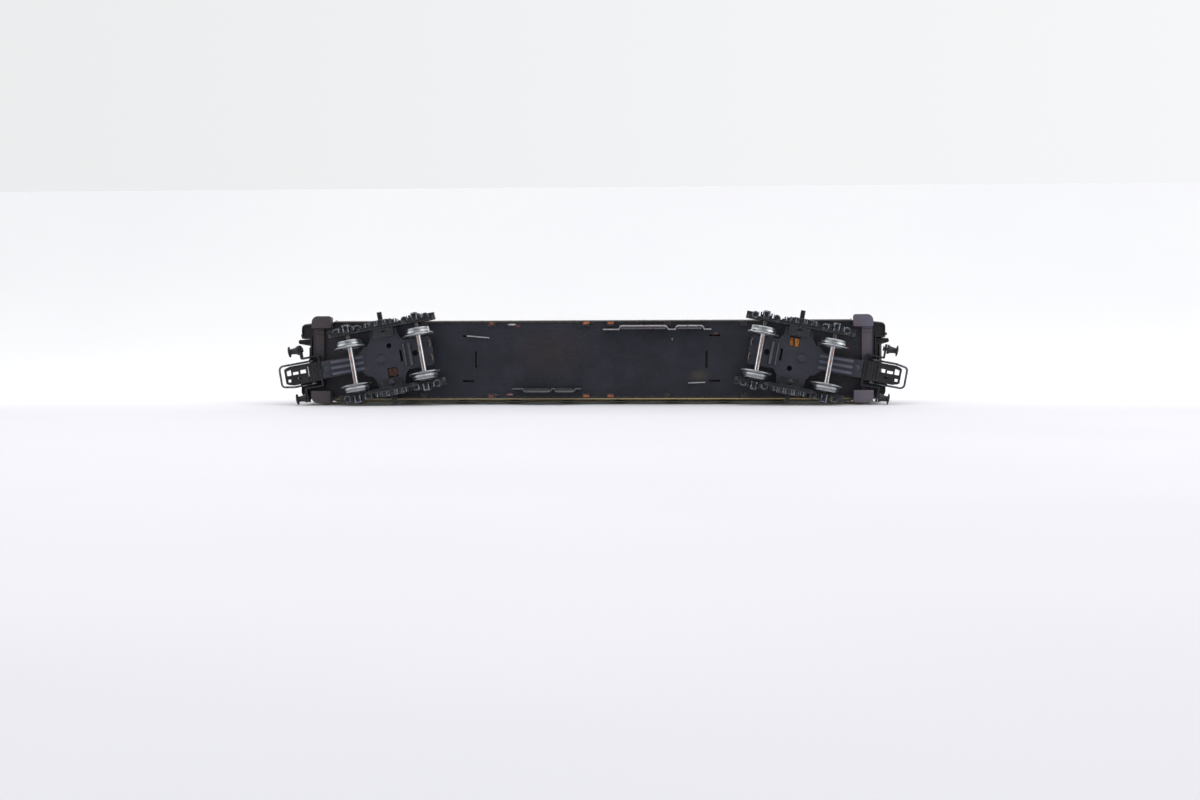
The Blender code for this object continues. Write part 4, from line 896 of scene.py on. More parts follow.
    def draw_spring_cores(bm):
        cores = [(u + offset, 5.1, 9.3) for u in axle_places for offset in (-4.2, 4.2)]
        cores += [(mid + offset, 4.4, 10.2) for offset in (-3.4, 3.4)]
        for u, low, high in cores:
            profile = [(0, low), (0.85, low), (0.95, low + 0.2), (0.95, high - 0.7), (1.45, high - 0.6)]
            draw_turned(bm, profile + [(1.45, high), (0, high)], 28, Matrix.Translation((u, hand * 13.3, 0)))

    piece(f"spring_cores_{tag}_{label}", body, materials["frame"], draw_spring_cores, place)
    piece(f"springs_{tag}_{label}", body, materials["spring"], draw_springs, place,
          smooth_deg=60)

    def draw_rivet(bm):
        profile = [(0, 6.55), (0.7, 6.65), (1.05, 6.9), (1.05, 7.2), (0.5, 7.2), (0.5, 9.1), (1.05, 9.1)]
        draw_turned(bm, profile + [(0.7, 9.4), (0, 9.45)], 28, Matrix.Translation((mid, hand * 9.8, 0)))

    piece(f"lug_rivet_{tag}_{label}", body, materials["plate"], draw_rivet, place,
          replaces=[f"frame_rivet_{tag}_{label}"])


def build_beam(tag, materials):
    place = bogie_place(tag)
    body = f"bogie_{tag}"
    pocket, tip = 6.0, 11.3

    def draw(bm):
        path = [(BEAM_WING, -tip, 0), (BEAM_WING, -pocket, 0), (BEAM_BACK, -pocket, 0)]
        path += [(u, -v, 0) for u, v, _ in reversed(path)]
        draw_strip(bm, path, (0, 0, 1), [(-0.3, BEAM_Z[0]), (0.3, BEAM_Z[0]), (0.3, BEAM_Z[1]), (-0.3,
                                                                                                 BEAM_Z[1])])

    def draw_shelf(bm):
        draw_box(bm, (19.6, -3.4, 9.1), (BEAM_BACK + 0.1, 3.4, 9.7))

    def draw_holes(bm):
        for v in (-BUFFER_V, BUFFER_V):
            draw_turned(bm, [(0.9, -2), (0.9, 2)], 24, along_x((BEAM_WING, v, BUFFER_Z)))
        draw_turned(bm, [(0.8, -2), (0.8, 2)], 24, along_x((BEAM_BACK, 0, 11.2)))
        draw_turned(bm, [(0.8, 7), (0.8, 12)], 24, Matrix.Translation((21.6, 0, 0)))

    piece(f"beam_{tag}", body, materials["black"], draw, place, joins=[draw_shelf],
          cuts=[draw_holes], bevel=0.12, replaces=[f"buffer_beam_{tag}"])

    def draw_rivet(bm):
        profile = [(0, 7.5), (0.8, 7.6), (1.15, 7.9), (0.5, 7.9), (0.5, 10.0), (1.15, 10.0), (0.8, 10.3),
                   (0, 10.35)]
        draw_turned(bm, profile, 28, Matrix.Translation((21.6, 0, 0)))

    piece(f"shelf_rivet_{tag}", body, materials["plate"], draw_rivet, place,
          replaces=[f"drawbar_rivet_{tag}"])
    for hand, label in ((1, "left"), (-1, "right")):

        def draw_buffer(bm, hand=hand):
            face = BEAM_WING + 0.6
            profile = [(0, 30.25), (0.9, 30.3), (1.15, 30.65), (0.6, 30.7), (0.6, face), (1.85, face)]
            profile += [(1.85, face + 0.5), (1.7, face + 0.7), (1.3, face + 1.4), (1.05, 35.2), (1.15, 35.35)]
            profile += [(2.05, 35.5), (2.18, 35.65), (2.18, 35.85), (2.0, 36.0), (1.2, 36.2), (0, 36.28)]
            draw_turned(bm, profile, 40, along_x((0, hand * BUFFER_V, BUFFER_Z)))

        piece(f"buffer_{tag}_{label}_turned", body, materials["black"], draw_buffer, place,
              replaces=[f"buffer_{tag}_{label}"])


def build_coupler(tag, materials):
    """A sheet-metal cage with a hook inside, and a wire bow on its cross pin."""
    place = bogie_place(tag)
    body = f"bogie_{tag}"
    rear = 25.35
    half = 3.8
    low, high = COUPLER_Z - 1.5, COUPLER_Z + 1.5
    upper = -1 if tag == "b" else 1

    def draw(bm):
        path = [(38.3, -half + 1.1, 0), (36.4, -half + 0.55, 0), (rear, -half + 0.55, 0)]
        path += [(u, -v, 0) for u, v, _ in reversed(path)]
        draw_strip(bm, path, (0, 0, 1), [(-0.52, low), (0.52, low), (0.52, high), (-0.52, high)])

    def draw_bars(bm):
        draw_box(bm, (25.9, -3.4, low), (29.3, 3.4, low + 0.9))
        outline = [(29.6, -3.4), (36.4, -3.4), (38.9, -2.9), (38.9, 2.9), (36.4, 3.4), (29.6, 3.4)]
        draw_prism(bm, outline, low, low + 0.9)
        for u in (26.3, 27.4, 28.8, 29.8):
            draw_box(bm, (u - 0.16, -3.3, low - 0.35), (u + 0.16, 3.3, low + 0.3))

    def draw_hook(bm):
        outline = [(29.9, -1.4), (37.9, -1.4)] + arc((37.9, -0.4), 1.0, -90, 0, 5)[1:]
        outline += [(38.9, 1.6), (38.6, 1.9), (38.0, 1.9), (37.7, 1.4), (37.7, 0.3), (37.3, 0.0)]
        outline += [(35.4, -0.2), (29.9, -0.2)]
        draw_prism(bm, outline, -0.6, 0.6, upright_along_y((0, -upper * 0.45, COUPLER_Z)))

    def draw_windows(bm):
        for u0, u1, v0, v1 in CAGE_WINDOWS:
            edges = sorted((upper * v0, upper * v1))
            draw_box(bm, (u0, edges[0], low - 1), (u1, edges[1], low + 2))

    def draw_holes(bm):
        draw_turned(bm, [(0.8, -6), (0.8, 6)], 24, along_y((COUPLER_PIN, 0, COUPLER_Z)))
        draw_turned(bm, [(0.8, -1), (0.8, 1)], 24, along_x((rear, 0, 11.2)))

    piece(f"coupler_cage_{tag}", body, materials["black"], draw, place,
          joins=[draw_bars, draw_hook], cuts=[draw_windows, draw_holes], bevel=0.1,
          replaces=[f"coupler_{tag}_head"])

    def draw_rivet(bm):
        profile = [(0, 23.45), (0.7, 23.5), (1.05, 23.85), (0.5, 23.9), (0.5, 25.8), (1.05, 25.85),
                   (0.7, 26.2), (0, 26.25)]
        draw_turned(bm, profile, 28, along_x((0, 0, 11.2)))

    piece(f"cage_rivet_{tag}", body, materials["spring"], draw_rivet, place,
          replaces=[f"coupler_{tag}_rivet"])

    def draw_pin(bm):
        head = [(0, -5.25), (0.6, -5.2), (0.85, -4.95), (0.5, -4.9)]
        draw_turned(bm, head + [(r, -h) for r, h in reversed(head)], 28, along_y((COUPLER_PIN, 0, COUPLER_Z)))

    piece(f"bow_pin_{tag}", body, materials["spring"], draw_pin, place,
          replaces=[f"coupler_{tag}_pin"])

    def draw_bow(bm):
        reach, bow_v = 12.98, 4.5
        path = [(1.1, bow_v)] + arc((reach - 1.7, bow_v - 1.7), 1.7, 90, 0, 8)
        path += arc((reach - 1.6, -2.4), 1.6, 0, -62, 6)
        path += [(reach - 4.3, -bow_v + 0.05), (reach - 5.0, -bow_v), (1.1, -bow_v)]
        draw_tube(bm, [(u, v, 0) for u, v in path], 0.42, 14)

    def draw_eyes(bm):
        for side in (-1, 1):
            outer = [(0.82, -0.3), (1.25, -0.3), (1.4, -0.15), (1.4, 0.15), (1.25, 0.3), (0.82, 0.3)]
            draw_turned(bm, outer, 28, along_y((0, side * bow_eye, 0)), closed=True)

    bow_eye = 4.5
    hinge = place @ Matrix.Translation((COUPLER_PIN * MM, 0, COUPLER_Z * MM))
    piece(f"wire_bow_{tag}", f"bow_{tag}", materials["wire"], draw_bow, hinge,
          joins=[draw_eyes],
          smooth_deg=50, replaces=[f"coupler_{tag}_bow"])


def build_king_pin(tag, materials):
    side = -1 if tag == "a" else 1
    place = Matrix.Translation((side * KING_PIN_X, 0, 0))

    def draw(bm):
        profile = [(0, 7.25), (0.5, 7.22), (0.7, 7.12), (1.2, 7.15), (1.7, 7.4), (1.95, 7.8), (1.2, 7.85)]
        profile += [(1.2, 9.2), (3.2, 9.2), (3.2, 13.9), (1.2, 13.9), (1.2, 15.1), (2.2, 15.1), (1.6, 15.8),
                    (0, 16.0)]
        draw_turned(bm, profile, 40)

    piece(f"riveted_king_pin_{tag}", "coach_body", materials["plate"], draw, place,
          replaces=[f"king_pin_{tag}"])


# ---------------------------------------------------------------- body


def wall_y(z):
    lean = max(0.0, (z - WAIST_Z) / (WALL_TOP - WAIST_Z))
    return WALL_Y - WALL_LEAN * lean


def build_window_frames(materials):
    """Raised frames round the windows, following the lean of the walls."""
    for hand, label in ((1, "left"), (-1, "right")):

        def draw(bm, hand=hand):
            places = [(x, WINDOW) for x in WINDOW_PLACES] + [(s * SMALL_WINDOW_X, SMALL_WINDOW) for s in (-1,
                                                                                                          1)]
            for x, (width, height) in places:
                for inset, radius in ((0.0, 0.26), (-0.9, 0.14)):
                    outline = rounded_rectangle(width - 2 * inset, height - 2 * inset, 1.2 - inset * 0.4, 5)
                    path = [(x + a, hand * (wall_y(WINDOW_Z + b) - 0.02), WINDOW_Z + b) for a, b in outline]
                    draw_tube(bm, path, radius, 8, closed=True)

        piece(f"window_frames_{label}", "coach_body", materials["brass"], draw, smooth_deg=60)


def build_doors(materials):
    """Side doors with their windows, handles and grab rails."""
    for side in (-1, 1):
        end = "a" if side < 0 else "b"
        for hand, label in ((1, "left"), (-1, "right")):
            middle = side * (DOOR_X[0] + DOOR_X[1]) / 2
            width, height = DOOR_X[1] - DOOR_X[0], DOOR_Z[1] - DOOR_Z[0]
            door_y = WALL_Y - 0.62

            def draw_leaf(bm, hand=hand):
                outline = rounded_rectangle(width - 0.5, height, 0.8, 4)
                faces = sorted((-hand * (door_y - 0.1), -hand * (door_y + 0.12)))
                draw_prism(bm, outline, *faces, upright_along_y((middle, 0, sum(DOOR_Z) / 2)))

            piece(f"door_{end}_{label}", "coach_body", materials["body"], draw_leaf, bevel=0.1)

            def draw_pane(bm, hand=hand):
                faces = sorted((-hand * (door_y), -hand * (door_y + 0.18)))
                draw_prism(bm, rounded_rectangle(4.0, 8.6, 0.9, 5), *faces,
                           upright_along_y((middle, 0, 29.6)))

            piece(f"door_pane_{end}_{label}", "coach_body", materials["rubber"], draw_pane,
                  bevel=0.05)

            def draw_trim(bm, hand=hand):
                outline = rounded_rectangle(4.2, 8.8, 1.0, 5)
                path = [(middle + a, hand * (door_y + 0.14), 29.6 + b) for a, b in outline]
                draw_tube(bm, path, 0.2, 8, closed=True)
                for x in (middle - width / 2 - 0.9, middle + width / 2 + 0.7):
                    rail = [(x, hand * (door_y + 0.1), 18.5), (x, hand * (door_y + 1.0), 19.0)]
                    rail += [(x, hand * (door_y + 1.0), 27.5), (x, hand * (door_y + 0.1), 28.0)]
                    draw_tube(bm, rail, 0.22, 8)
                lever = [(middle + 2.2, hand * (door_y + 0.1), 23.6),
                         (middle + 2.2, hand * (door_y + 0.7), 23.6)]
                lever += [(middle + 0.9, hand * (door_y + 0.75), 23.6)]
                draw_tube(bm, lever, 0.2, 8)

            piece(f"door_trim_{end}_{label}", "coach_body", materials["brass"], draw_trim,
                  smooth_deg=60)


def roof_arch(x, half_width, top, steps=40):
    points = []
    for i in range(steps + 1):
        angle = math.pi * i / steps
        c, s = math.cos(angle), max(0.0, math.sin(angle))
        y = half_width * math.copysign(abs(c) ** 0.8, c)
        points.append((x, y, ROOF_Z[0] + (top - ROOF_Z[0]) * s**0.9))
    return points


def build_roof(materials):
    end = BODY_END + 0.3

    def stations(inset):
        half = [(0.0, ROOF_Y, 0.0), (102.0, ROOF_Y, 0.0), (104.0, ROOF_Y - 0.2, 0.0),
                (110.0, ROOF_Y - 0.4, 0.1)]
        half += [(end - 2.2, ROOF_Y - 1.0, 0.4), (end - 1.3, ROOF_Y - 1.45, 0.62),
                 (end - 0.6, ROOF_Y - 2.1, 0.9)]
        half += [(end - 0.2, ROOF_Y - 2.5, 1.15), (end, ROOF_Y - 3.0, 1.4)]
        half = [(x * (end - inset) / end, w - inset, ROOF_Z[1] - drop - inset) for x, w, drop in half]
        return [(-x, w, top) for x, w, top in reversed(half[1:])] + half

    def draw(bm):
        rims = []
        for inset in (0.0, ROOF_SHEET):
            rings = [[bm.verts.new(p) for p in roof_arch(*station)] for station in stations(inset)]
            for ring_a, ring_b in zip(rings, rings[1:]):
                join_rings(bm, ring_a, ring_b, closed=False)
            bm.faces.new(rings[0])
            bm.faces.new(rings[-1])
            rims.append([ring[0] for ring in rings] + [ring[-1] for ring in reversed(rings)])
        join_rings(bm, *rims)

    piece("roof_skin", "coach_body", materials["roof"], draw, smooth_deg=40, replaces=["roof"])

    def draw_seams(bm):
        for i in range(13):
            x = 17.0 * (i - 6)
            arch = roof_arch(x, ROOF_Y - 0.15, ROOF_Z[1] - 0.13, 48)[2:-2]
            draw_tube(bm, arch, 0.2, 6)

    piece("roof_seams", "coach_body", materials["roof"], draw_seams, smooth_deg=60)

    def draw_vents(bm):
        for x, y in VENT_PLACES:
            profile = [(0.95, 0), (0.95, 1.0), (1.15, 1.12), (1.62, 1.2), (1.68, 1.3), (1.6, 1.4),
                       (1.25, 1.8)]
            profile += [(0.8, 2.0), (0, 2.08)]
            draw_turned(bm, profile, 32, Matrix.Translation((x, y, ROOF_Z[1] - 0.75)))
            draw_turned(bm, [(1.5, 0), (1.5, 0.45), (1.2, 0.6), (0, 0.6)], 32,
                        Matrix.Translation((x, y, ROOF_Z[1] - 0.75)))

    piece("roof_ventilators", "coach_body", materials["roof"], draw_vents)

    def draw_gutters(bm):
        for hand in (-1, 1):
            path = [(-101.0, hand * (ROOF_Y - 0.16), 38.6), (101.0, hand * (ROOF_Y - 0.16), 38.6)]
            draw_tube(bm, path, 0.22, 8)

    piece("roof_gutters", "coach_body", materials["black"], draw_gutters, smooth_deg=60)


def build_ends(materials):
    """Gangways with folded bellows, end doors' trim with a handle, and lamp brackets."""
    for side in (-1, 1):
        end = "a" if side < 0 else "b"

        def draw_bellows(bm, side=side):
            low, high, half, bend = 14.8, 36.2, 7.3, 2.6
            line = [(-half, low)] + arc((-half + bend, high - bend), bend, 180, 90, 8)
            line += arc((half - bend, high - bend), bend, 90, 0, 8) + [(half, low)]
            path = [(0, y, z) for y, z in line]
            section = [(-0.9, 111.9), (0.9, 111.9)]
            folds = 3
            for i in range(folds):
                x = 112.9 + i * 1.05
                section += [(0.9, x), (0.62, x + 0.3), (0.9, x + 0.6)]
            section += [(0.9 * math.cos(a), 115.6 + 0.9 * math.sin(a)) for a in (0.4, 0.9, 1.57, 2.24, 2.74)]
            for i in reversed(range(folds)):
                x = 112.9 + i * 1.05
                section += [(-0.9, x + 0.6), (-0.62, x + 0.3), (-0.9, x)]
            draw_strip(bm, path, (1, 0, 0), [(across, side * up) for across, up in section])
            for vert in bm.verts:
                height = min(1.0, max(0.0, (vert.co.z - low) / (high - bend - low)))
                vert.co.x = side * (111.9 + (abs(vert.co.x) - 111.9) * (1 - height * 2.85 / 4.6))

        piece(f"bellows_{end}", "coach_body", materials["rubber"], draw_bellows,
              smooth_deg=30,
              replaces=[f"gangway_{end}"])

        def draw_trim(bm, side=side):
            x = side * 112.25
            outline = rounded_rectangle(6.2, 8.2, 1.0, 5)
            draw_tube(bm, [(x, a, 28.0 + b) for a, b in outline], 0.22, 8, closed=True)
            knob = [(x, 3.9, 22.5), (x + side * 0.8, 3.9, 22.5), (x + side * 0.85, 2.9, 22.5)]
            draw_tube(bm, knob, 0.2, 8)

        piece(f"end_trim_{end}", "coach_body", materials["black"], draw_trim, smooth_deg=60)

        def draw_brackets(bm, side=side):
            for hand in (-1, 1):
                xs = sorted((side * (BODY_END - 0.2), side * (BODY_END + 0.8)))
                draw_box(bm, (xs[0], hand * 9.9 - 0.5, 16.2), (xs[1], hand * 9.9 + 0.5, 17.6))

        piece(f"lamp_brackets_{end}", "coach_body", materials["black"], draw_brackets,
              bevel=0.15)


def build_glazing_and_cad_finishes(materials):
    """The CAD nodes whose shape is right keep it and get a finished material."""
    finishes = {"floor_plate": "floor", "body_shell": "body", "glazing_left": "glass",
                "glazing_right": "glass"}
    finishes.update({"end_door_a": "body", "end_door_b": "body"})
    for node, key in finishes.items():
        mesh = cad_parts[node].data
        mesh.materials.clear()
        mesh.materials.append(materials[key])


def build_compartment(materials):
    """Seats and partitions, dimly seen through the windows."""

    def draw(bm):
        for i, x in enumerate(WINDOW_PLACES):
            for face in (-1, 1):
                at = x + face * 7.4
                draw_box(bm, (at - 1.0, -12.6, 16.4), (at + 1.0, 12.6, 27.6))
                seat = sorted((at, at - face * 5.2))
                draw_box(bm, (seat[0], -12.4, 16.4), (seat[1], 12.4, 20.4))
            if i:
                wall = x - 10.5
                draw_box(bm, (wall - 0.3, -13.2, 15.6), (wall + 0.3, 13.2, 36.6))

    piece("compartment_seats", "coach_body", materials["step_a"], draw, bevel=0.4)


# ---------------------------------------------------------------- under the floor


def build_steps(materials):
    for side in (-1, 1):
        end = "a" if side < 0 else "b"
        material = materials[f"step_{end}"]

        def block(hand, side=side):
            x0, x1 = STEP_X
            y0, y1 = STEP_Y
            outline = [(x0, y0), (x0, y1 - 0.5), (x0 + 0.2, y1 - 0.15), (x0 + 0.6, y1)]
            outline += arc((x1 - 2.4, y1 - 2.4), 2.4, 90, 0, 8) + [(x1, y0)]
            return [(side * x, hand * y) for x, y in outline]

        def draw(bm, side=side):
            for hand in (-1, 1):
                draw_prism(bm, block(hand), *STEP_Z)

        def draw_treads(bm, side=side):
            for hand in (-1, 1):
                xs = sorted((side * (STEP_X[0] + 0.9), side * (STEP_X[1] - 0.9)))
                ys = sorted((hand * 14.6, hand * 18.0))
                for low, high in ((9.2, 10.6), (11.4, 12.8)):
                    draw_box(bm, (xs[0], ys[0], low), (xs[1], ys[1], high))

        def draw_sill(bm, side=side):
            xs = sorted((side * 105.8, side * 109.8))
            draw_box(bm, (xs[0], -14.0, 13.0), (xs[1], 14.0, 13.6))

        piece(f"step_blocks_{end}", "coach_body", material, draw, joins=[draw_sill],
              cuts=[draw_treads], bevel=0.3, replaces=[f"steps_{end}"])

        def draw_ridges(bm, side=side):
            for hand in (-1, 1):
                for offset in (0.0, 1.5):
                    y = hand * (11.7 - offset)
                    path = [(side * x, y, 13.05) for x in (105.9, 109.7)]
                    draw_tube(bm, path, 0.22, 8)
            for x in (105.95, 109.65):
                draw_tube(bm, [(side * x, y, 13.0) for y in (-12.2, 12.2)], 0.2, 8)

        piece(f"sill_ridges_{end}", "coach_body", material, draw_ridges, smooth_deg=60)


def build_skirt(name, side, start, stretches, materials):
    """A tin strip bent round the battery boxes: (length, is it a box) from its start."""
    deep = side * (SKIRT_Y + SKIRT_BULGE)
    path = [(start, side * SKIRT_Y, 0)]
    shallow = []
    x = start
    for length, is_box in stretches:
        if is_box:
            path += [(x, side * SKIRT_Y, 0), (x + 0.45, side * SKIRT_Y + side * 0.85, 0), (x + 1.3, deep, 0)]
            path += [(x + length - 1.3, deep, 0), (x + length - 0.45, side * SKIRT_Y + side * 0.85, 0)]
            path += [(x + length, side * SKIRT_Y, 0)]
        else:
            shallow.append((x, x + length))
        x += length
    path.append((x, side * SKIRT_Y, 0))
    distinct = [path[0]] + [b for a, b in zip(path, path[1:]) if a != b]

    def draw(bm):
        draw_strip(bm, distinct, (0, 0, 1),
                   [(-0.25, SKIRT_Z[0]), (0.25, SKIRT_Z[0]), (0.25, SKIRT_Z[1]), (-0.25, SKIRT_Z[1])])

    def draw_notches(bm):
        for x0, x1 in shallow:
            draw_box(bm, (x0 - 0.4, side * SKIRT_Y - 3, SKIRT_Z[0] - 1),
                     (x1 + 0.4, side * SKIRT_Y + 3, SKIRT_SHALLOW_Z))

    def draw_floors(bm):
        x = start
        for length, is_box in stretches:
            if is_box:
                faces = sorted((side * (SKIRT_Y - 0.1), side * (SKIRT_Y + SKIRT_BULGE - 0.2)))
                draw_box(bm, (x + 0.9, faces[0], SKIRT_Z[0] + 0.5),
                         (x + length - 0.9, faces[1], SKIRT_Z[0] + 0.9))
            x += length

    piece(f"{name}_boxes", "coach_body", materials[f"{name}_fill"], draw_floors, bevel=0.1)
    piece(f"{name}_strip", "coach_body", materials[name], draw, cuts=[draw_notches], bevel=0.1,
          replaces=[name])


def build_floor_tabs(materials):
    for name, y, lean in (("floor_tab_a", -9.0, -0.4), ("floor_tab_b", 9.2, 0.1)):
        low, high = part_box(name)
        x0, x1 = low.x / MM, high.x / MM

        def draw(bm, x0=x0, x1=x1, y=y, lean=lean):
            def line(x):
                share = (x - x0) / (x1 - x0)
                return (x, y + lean * (2 * share - 1) * -1, 0)

            path = [line(x0 + (x1 - x0) * i / 6) for i in range(7)]
            section = [(-0.24, 12.5), (0.24, 12.5), (0.24, 13.85), (-0.24, 13.85)]
            draw_strip(bm, path, (0, 0, 1), section)

        piece(f"{name}_bent", "coach_body", materials["silver"], draw, bevel=0.1, replaces=[name])


def build_floor_flange(materials):
    """The floor plate's turned-up edge, which closes the seam along the walls."""

    def draw(bm):
        for hand in (-1, 1):
            faces = sorted((hand * 14.1, hand * 14.95))
            draw_box(bm, (-101.2, faces[0], 14.95), (101.2, faces[1], 16.2))
        for side in (-1, 1):
            xs = sorted((side * 101.0, side * 110.7))
            draw_box(bm, (xs[0], -12.6, 14.95), (xs[1], 12.6, 15.6))
            xs = sorted((side * 110.2, side * 114.3))
            for hand in (-1, 1):
                ys = sorted((hand * 9.3, hand * 13.6))
                draw_box(bm, (xs[0], ys[0], 14.75), (xs[1], ys[1], 15.6))

    piece("floor_flange", "coach_body", materials["black"], draw)


def build_floor_beads(materials):
    """Shallow beads pressed in the floor plate."""
    z = FLOOR_BOTTOM + 0.02
    lines = [
        [(-45.0, -4.0), (-45.0, 8.8), (-33.4, 8.8), (-33.4, 13.6)],
        [(48.6, -10.2), (44.8, -5.6)],
        [(36.6, 8.0), (36.6, 13.8)],
        [(-72.0, -11.6), (2.0, -11.6)],
        [(-20.0, 11.4), (34.0, 11.4)],
    ]

    def draw(bm):
        for line in lines:
            draw_tube(bm, [(x, y, z) for x, y in line], 0.13, 8)

    piece("floor_beads", "coach_body", materials["floor"], draw, smooth_deg=60)


# ---------------------------------------------------------------- stage, camera and light

# The paper touches the pegs of the bogies and the edge of the roof
CONTACT_LOW = (18.3, 6.8)
CONTACT_HIGH = (15.75, 40.0)
PAPER_HALF_WIDTH = 1500.0
PAPER_NEAR_Z = -1100.0
PAPER_BEND_Z = 260.0
PAPER_BEND_RADIUS = 260.0
PAPER_TOP_RISE = 112.0


def build_stage():
    """White paper that the coach lies on, bent up behind it. It only shows from the coach's side."""
    slope = (CONTACT_HIGH[0] - CONTACT_LOW[0]) / (CONTACT_HIGH[1] - CONTACT_LOW[1])

    def table_y(z):
        return CONTACT_LOW[0] + slope * (z - CONTACT_LOW[1])

    profile = [(table_y(z), z) for z in (PAPER_NEAR_Z, -400.0, 0.0, PAPER_BEND_Z)]
    tilt = math.atan(slope)
    base_y, base_z = table_y(PAPER_BEND_Z), PAPER_BEND_Z
    for i in range(1, 25):
        angle = math.radians(78) * i / 24
        forward, rise = PAPER_BEND_RADIUS * math.sin(angle), PAPER_BEND_RADIUS * (1 - math.cos(angle))
        if rise > PAPER_TOP_RISE:
            break
        y = base_y + forward * math.sin(tilt) - rise * math.cos(tilt)
        z = base_z + forward * math.cos(tilt) + rise * math.sin(tilt)
        profile.append((y, z))

    mesh = bpy.data.meshes.new("paper")
    vertices = [(x * MM, y * MM, z * MM) for y, z in profile for x in (-PAPER_HALF_WIDTH, PAPER_HALF_WIDTH)]
    faces = [(2 * i, 2 * i + 1, 2 * i + 3, 2 * i + 2) for i in range(len(profile) - 1)]
    mesh.from_pydata(vertices, [], faces)
    if mesh.polygons[0].normal.y > 0:
        mesh.flip_normals()
    mesh.shade_smooth()
    paper = bpy.data.objects.new("paper", mesh)
    bpy.context.scene.collection.objects.link(paper)
    mesh.materials.append(make_paper())


def make_paper():
    paint = Paint("white_paper", roughness=0.9, Specular_IOR_Level=0.1)
    cloud = paint.spread(paint.noise(0.004, detail=2), 0.3, 0.7)
    # The paper is painted darker in front of the coach and lighter behind it, a painted gradient of the light
    # from above.
    far = paint.mix(cloud, srgb(250, 250, 252), srgb(253, 253, 254))
    near = paint.mix(cloud, srgb(227, 226, 232), srgb(232, 231, 236))
    paint.finish(paint.mix(paint.spread(paint.z, -60.0, 120.0), near, far))
    clear = paint.add("ShaderNodeBsdfTransparent")
    blend = paint.add("ShaderNodeMixShader")
    paths = paint.add("ShaderNodeLightPath")
    side = paint.add("ShaderNodeNewGeometry")
    see_through = paint.math("MAXIMUM", side.outputs["Backfacing"], paths.outputs["Is Shadow Ray"])
    paint.link(see_through, blend.inputs[0])
    paint.link(paint.shader.outputs[0], blend.inputs[1])
    paint.link(clear.outputs[0], blend.inputs[2])
    paint.link(blend.outputs[0], paint.tree.nodes["Material Output"].inputs["Surface"])
    return paint.material


def make_camera():
    forward, right, up = Vector((0, 0, 1)), Vector((1, 0, 0)), Vector((0, -1, 0))
    for axis, angle in zip((Vector((0, 1, 0)), Vector((1, 0, 0)), None), CAMERA_TURN_DEG):
        turn = Matrix.Rotation(math.radians(angle), 3, axis or forward)
        forward, right, up = turn @ forward, turn @ right, turn @ up
    data = bpy.data.cameras.new("camera")
    data.sensor_width = SENSOR_WIDTH
    data.lens = LENS
    data.clip_start = 0.01
    camera = bpy.data.objects.new("camera", data)
    place = Matrix((right, up, -forward)).transposed().to_4x4()
    place.translation = Vector(CAMERA_TARGET) - forward * CAMERA_DISTANCE
    camera.matrix_world = place
    bpy.context.scene.collection.objects.link(camera)
    bpy.context.scene.camera = camera


def add_softbox(name, place, target, size, power, colour=(1.0, 1.0, 1.0)):
    data = bpy.data.lights.new(name, "AREA")
    data.shape = "RECTANGLE"
    data.size, data.size_y = size
    data.energy = power
    data.color = colour
    light = bpy.data.objects.new(name, data)
    light.location = place
    light.rotation_euler = (Vector(target) - Vector(place)).to_track_quat("-Z", "Y").to_euler()
    bpy.context.scene.collection.objects.link(light)


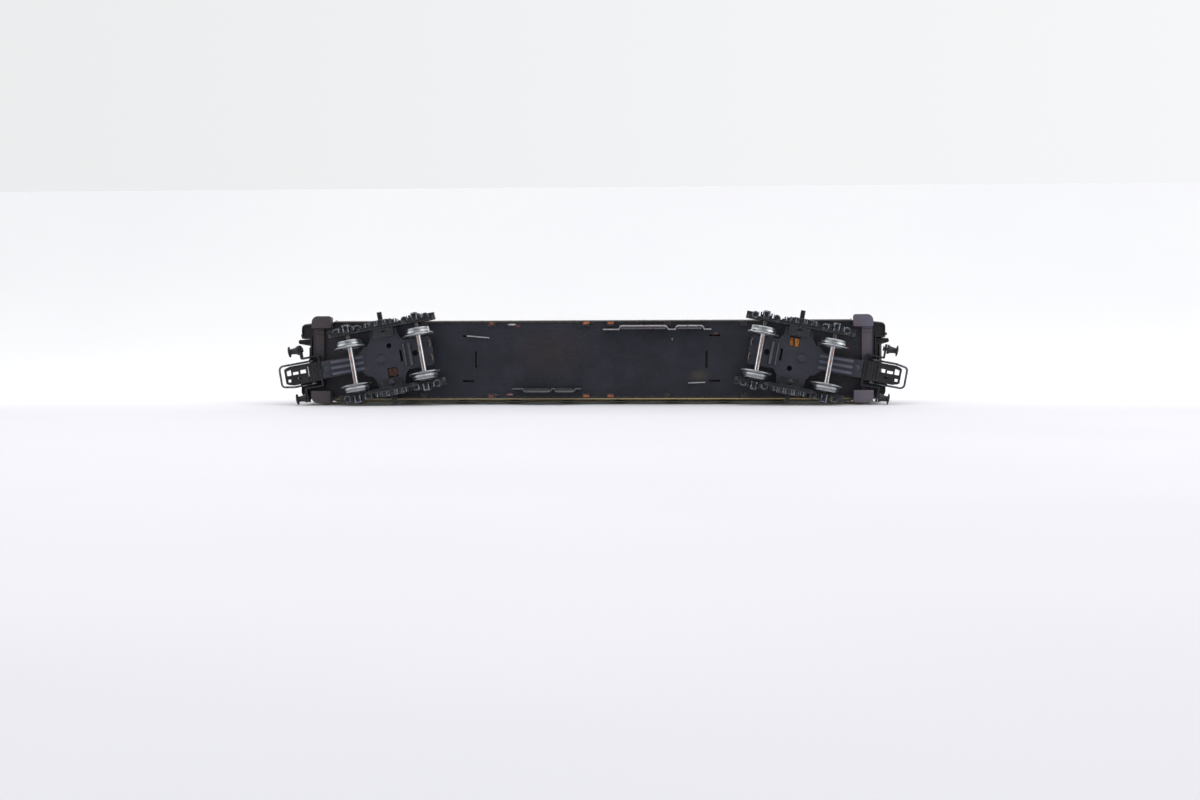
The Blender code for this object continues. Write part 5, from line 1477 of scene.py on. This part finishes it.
def light_stage():
    middle = (0, 0, 0.02)
    add_softbox("softbox_above", (0.1, -0.9, -0.25), middle, (1.4, 1.0), 4.4)
    add_softbox("softbox_left", (-1.0, -0.35, -0.45), middle, (0.8, 0.9), 2.2, (0.96, 0.98, 1.0))
    add_softbox("softbox_right", (1.0, -0.35, -0.45), middle, (0.8, 0.9), 2.6, (0.97, 0.98, 1.0))
    add_softbox("softbox_behind", (0.0, -0.3, 1.2), middle, (1.6, 1.0), 5.0)
    add_softbox("softbox_below", (0.0, 1.0, 0.35), middle, (1.4, 1.0), 3.0)
    world = bpy.data.worlds.new("bright_room")
    bpy.context.scene.world = world
    world.use_nodes = True
    nodes, links = world.node_tree.nodes, world.node_tree.links
    background = nodes["Background"]
    split = nodes.new("ShaderNodeSeparateXYZ")
    links.new(nodes.new("ShaderNodeTexCoord").outputs["Generated"], split.inputs[0])
    fade = nodes.new("ShaderNodeMapRange")
    fade.inputs["From Min"].default_value = -1.0
    fade.inputs["From Max"].default_value = 0.3
    fade.inputs["To Min"].default_value = 0.30
    fade.inputs["To Max"].default_value = 1.0
    links.new(split.outputs["Z"], fade.inputs["Value"])
    across = nodes.new("ShaderNodeMapRange")
    across.inputs["From Min"].default_value = -0.3
    across.inputs["From Max"].default_value = 0.3
    across.inputs["To Min"].default_value = 0.86
    across.inputs["To Max"].default_value = 0.95
    links.new(split.outputs["X"], across.inputs["Value"])
    both = nodes.new("ShaderNodeMath")
    both.operation = "MULTIPLY"
    links.new(fade.outputs["Result"], both.inputs[0])
    links.new(across.outputs["Result"], both.inputs[1])
    links.new(both.outputs[0], background.inputs["Strength"])
    background.inputs["Color"].default_value = (0.985, 0.99, 1.0, 1.0)
    bpy.context.scene.view_settings.view_transform = "Standard"


# ---------------------------------------------------------------- all together


def main():
    materials = make_materials()
    for tag in ("a", "b"):
        build_plate(tag, materials)
        for hand in (1, -1):
            build_side_frame(tag, hand, materials)
        for number in AXLES:
            build_wheelset(tag, number, materials)
        build_beam(tag, materials)
        build_coupler(tag, materials)
        build_king_pin(tag, materials)
    build_glazing_and_cad_finishes(materials)
    build_compartment(materials)
    build_window_frames(materials)
    build_doors(materials)
    build_roof(materials)
    build_ends(materials)
    build_steps(materials)
    build_skirt("skirt_long", -1, 4.9, [(6.3, 0), (19.3, 1), (2.7, 0), (11.4, 1), (2.7, 0)], materials)
    build_skirt("skirt_short", 1, -31.0, [(4.5, 0), (11.4, 1), (1.0, 0), (8.2, 1), (2.3, 0)], materials)
    build_floor_tabs(materials)
    build_floor_flange(materials)
    build_floor_beads(materials)
    build_stage()
    make_camera()
    light_stage()


main()
